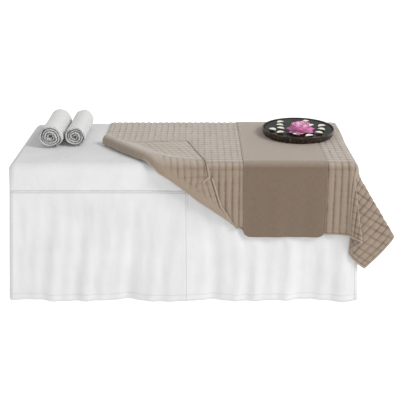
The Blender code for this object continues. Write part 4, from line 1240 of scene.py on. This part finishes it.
def gather_petals(name, petals, finish, thickness):
    """Joins petals, each (points, uv, faces, transform), into one object."""
    points, uvs, faces, start = [], [], [], 0
    for local, uv, quads, place in petals:
        matrix = np.array(place)
        points.append(local @ matrix[:3, :3].T + matrix[:3, 3])
        uvs.append(uv)
        faces.append(quads + start)
        start += len(local)
    made = mesh_object(name, np.concatenate(points), np.concatenate(faces), finish, np.concatenate(uvs))
    merge_close(made, 1e-6)
    thicken(made, thickness, offset=0.0)
    fine = made.modifiers.new("Fine", "SUBSURF")
    fine.levels = fine.render_levels = 1
    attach(made, "dish")
    return made


# Rings of lotus petals, outer first: count, length, width, distance of the base from the middle,
# tilt up in degrees, cup, curl, start angle in degrees.
OUTER_RINGS = [
    (7, 0.079, 0.068, 0.006, 4, 0.24, 0.06, 12),
    (7, 0.066, 0.060, 0.008, 24, 0.40, 0.12, 38),
]
INNER_RINGS = [
    (7, 0.062, 0.056, 0.016, 54, 0.72, -0.04, 14),
    (6, 0.055, 0.050, 0.013, 66, 0.85, -0.08, 42),
    (4, 0.045, 0.040, 0.007, 74, 0.95, -0.12, 20),
]


def ring_petals(rings, centre):
    petals = []
    for number, (count, length, width, base, tilt, cup, curl, start) in enumerate(rings):
        for k in range(count):
            jitter = hash_noise(k + 3.0, number * 5.0 + length * 100) - 0.5
            turn = radians(start + 360 * k / count + 8 * jitter)
            size = 1 + 0.10 * jitter
            shape = petal_points(length * size, width, cup, curl)
            place = (
                Matrix.Translation(centre)
                @ Matrix.Rotation(turn, 4, "Z")
                @ Matrix.Translation((base, 0, 0))
                @ Matrix.Rotation(-radians(tilt + 7 * jitter), 4, "Y")
            )
            petals.append((*shape, place))
    return petals


def build_lotus():
    middle = (LOTUS_LOW + LOTUS_HIGH) / 2
    centre = Vector((middle.x - 0.005, middle.y - 0.010, WATER_LEVEL + 0.004))
    gather_petals("lotus_outer_petals", ring_petals(OUTER_RINGS, centre), OUTER_PETAL, 0.0011)
    petals = ring_petals(INNER_RINGS, centre)
    inner = gather_petals("lotus_inner_petals", petals, INNER_PETAL, 0.0010)
    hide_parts("lotus_flower")
    profile = [(0, WATER_LEVEL + 0.001), (0.012, WATER_LEVEL + 0.001), (0.015, WATER_LEVEL + 0.012)]
    profile += arc(0.009, WATER_LEVEL + 0.024, 0.004, 0, 90, 4) + [(0, WATER_LEVEL + 0.027)]
    pod = turned_surface("lotus_pod", profile, (centre.x, centre.y), SEED_FINISH, 24)
    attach(pod, "dish")


# Loose petals on the water: where each floats from the dish's centre, and its heading in degrees.
LOOSE_PETALS = [
    (-0.094, 0.104, 10), (-0.105, 0.039, 175), (-0.108, -0.027, 160), (-0.158, -0.048, 150),
    (-0.114, -0.107, 5), (-0.028, -0.150, 165), (0.044, -0.172, 8), (0.106, -0.116, 170),
    (0.129, -0.047, 160), (0.143, 0.022, 12), (0.062, 0.118, 20), (0.078, 0.030, 30),
]


LOOSE_LENGTH, LOOSE_WIDTH = 0.044, 0.034


def build_loose_petals():
    x, y = dish_centre()
    petals = []
    for k, (right, back, heading) in enumerate(LOOSE_PETALS):
        size = LOOSE_LENGTH * (0.92 + 0.16 * hash_noise(float(k), 2.0))
        shape = petal_points(size, LOOSE_WIDTH, 0.42, 0.06)
        place = (
            Matrix.Translation((x + right, y + back, WATER_LEVEL + 0.0016))
            @ Matrix.Rotation(radians(heading), 4, "Z")
            @ Matrix.Translation((-size / 2, 0, 0))
            @ Matrix.Rotation(radians(-3), 4, "Y")
        )
        petals.append((*shape, place))
    gather_petals("loose_petals", petals, LOOSE_PETAL, 0.0010)


# ---- The table beneath ----


PAD_COUNTS = (27, 27, 6)
PAD_CORNER = 0.020


def build_pad(half):
    """An upholstered pad: crowned on top, flat beneath, with piping round both its edges."""
    node_name = f"{half}_pad"
    low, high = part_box(node_name)
    middle = np.array((low + high) / 2)
    half_x, half_y = (high.x - low.x) / 2 - 0.002, (high.y - low.y) / 2 - 0.002
    height = high.z - low.z
    crown = 0.004
    edge = 0.030
    brow = height - crown
    profile = [(half_y - (half_y - edge) * s, height - crown * s**2) for s in np.linspace(0, 1, 12)]
    turns = np.linspace(0.25, 1.5, 6)
    profile += [(edge * (1 - sin(a)), brow - edge * (1 - cos(a))) for a in turns]
    profile += [(0.0015, height * 0.55), (0.003, height * 0.35), (0.0015, height * 0.16)]
    profile += [(0.0005, 0.006), (0.004, 0.0015)] + [(half_y * s, 0.0004) for s in (0.2, 0.6, 1.0)]
    points = []
    for inset, z in profile:
        radius = max(PAD_CORNER - inset, 0.0005)
        loop = rounded_loop(half_x - inset, half_y - inset, radius, PAD_COUNTS)
        points.append(np.column_stack([loop + middle[:2], np.full(len(loop), low.z + z)]))
    made = grid_object(f"{half}_pad_upholstery", np.array(points), VINYL_FINISH, closed=True)
    merge_close(made)
    for edge_name, z, inset in (("upper", brow - edge * 0.75, 0.0008), ("lower", 0.0075, 0.0)):
        loop = rounded_loop(half_x - inset, half_y - inset, PAD_CORNER, PAD_COUNTS) + middle[:2]
        piping = pad_piping(f"{half}_pad_piping_{edge_name}", loop, low.z + z)
        piping.parent = made
    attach(made, f"{half}_half")
    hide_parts(node_name)


def pad_piping(name, loop, z):
    """A round cord of vinyl sewn into the pad's edge."""
    ahead = np.roll(loop, -1, axis=0) - np.roll(loop, 1, axis=0)
    ahead /= np.linalg.norm(ahead, axis=1, keepdims=True)
    out = np.stack([ahead[:, 1], -ahead[:, 0]], axis=1)
    points = []
    for angle in np.linspace(0, -tau, 9):
        side = loop + out * PIPING_RADIUS * cos(angle)
        points.append(np.column_stack([side, np.full(len(loop), z + PIPING_RADIUS * sin(angle))]))
    return merge_close(grid_object(name, np.array(points), VINYL_FINISH, closed=True))


# The material and record slot of each CAD node that stays visible, by part of its name.
TABLE_FINISHES = (
    ("upper_leg", BEECH_UPRIGHT, "beech"),
    ("lower_leg", BEECH_UPRIGHT, "beech"),
    ("side_rail", BEECH_ALONG_X, "beech"),
    ("rail", BEECH_ALONG_Y, "beech"),
    ("stretcher", BEECH_ALONG_Y, "beech"),
    ("deck", PLY_FINISH, "plywood"),
    ("foot", RUBBER_FINISH, "black_rubber"),
    ("knob", KNOB_FINISH, "knob_plastic"),
    ("carry_handle", LEATHER_FINISH, "handle_leather"),
    ("", STEEL_FINISH, "steel"),
)


def finish_table():
    for name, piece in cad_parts.items():
        if piece.hide_render:
            continue
        finish, slot = next(row[1:] for row in TABLE_FINISHES if row[0] in name)
        piece.data.materials.clear()
        piece.data.materials.append(finish)


# ---- Camera, light and floor ----


CAMERA_PLACE = (MID_X + 0.091, -4.276, 2.165)
CAMERA_TILT = radians(70.99)
CAMERA_SHIFT = -0.1
LENS = 69.9  # on a sensor 36 mm wide
KEY_PLACE, KEY_TARGET, KEY_SIZE, KEY_POWER = (8.0, -5.1, 8.6), (0, 0, 0.6), 4.2, 850.0
SKY_STRENGTH = 0.62
FLOOR_GLOW = 0.95


def build_camera():
    data = bpy.data.cameras.new("view")
    data.sensor_width = 36.0
    data.lens = LENS
    data.shift_y = CAMERA_SHIFT
    camera = bpy.data.objects.new("view", data)
    camera.location = CAMERA_PLACE
    camera.rotation_euler = (CAMERA_TILT, 0, 0)
    bpy.context.scene.collection.objects.link(camera)
    bpy.context.scene.camera = camera


def build_key_light():
    data = bpy.data.lights.new("key", "AREA")
    data.shape = "RECTANGLE"
    data.size = data.size_y = KEY_SIZE
    data.energy = KEY_POWER
    lamp = bpy.data.objects.new("key", data)
    bpy.context.scene.collection.objects.link(lamp)
    lamp.location = KEY_PLACE
    towards = Vector(KEY_TARGET) - Vector(KEY_PLACE)
    lamp.rotation_euler = towards.to_track_quat("-Z", "Y").to_euler()


def floor_links(tree):
    place = here(tree)
    cloud = noise(tree, place, 0.8)
    return [ramp(tree, cloud, [(0.3, (0.32, 0.32, 0.32)), (0.7, (0.35, 0.35, 0.35))])]


def build_studio():
    constants = {"Roughness": 0.9, "Specular IOR Level": 0.0}
    constants |= {"Emission Color": (1, 1, 1, 1), "Emission Strength": FLOOR_GLOW}
    finish = new_material("pale_floor", constants, floor_links)
    half = 60.0
    corners = [(-half, -half, 0), (half, -half, 0), (half, half, 0), (-half, half, 0)]
    floor = mesh_object("studio_floor", corners, [(0, 1, 2, 3)], finish, smooth=False)
    floor.location.z = -0.0005
    world = bpy.data.worlds.new("studio")
    world.use_nodes = True
    background = world.node_tree.nodes["Background"]
    background.inputs["Color"].default_value = (1, 1, 1, 1)
    background.inputs["Strength"].default_value = SKY_STRENGTH
    bpy.context.scene.world = world
    build_key_light()
    view = bpy.context.scene.view_settings
    view.view_transform = "Standard"
    view.look = "None"


def main():
    build_camera()
    build_studio()
    build_cover()
    for side in (-1, 1):
        for half in (-1, 1):
            build_side_skirt(side, half)
    for end in (-1, 1):
        build_end_skirt(end)
    build_quilt()
    build_runner()
    build_towel("left_rolled_towel", "rolled_towel_left", "left_towel", 0.4)
    build_towel("right_rolled_towel", "rolled_towel_right", "right_towel", 2.1)
    build_dish()
    build_water()
    build_lotus()
    build_loose_petals()
    for half in ("left", "right"):
        build_pad(half)
    finish_table()


main()
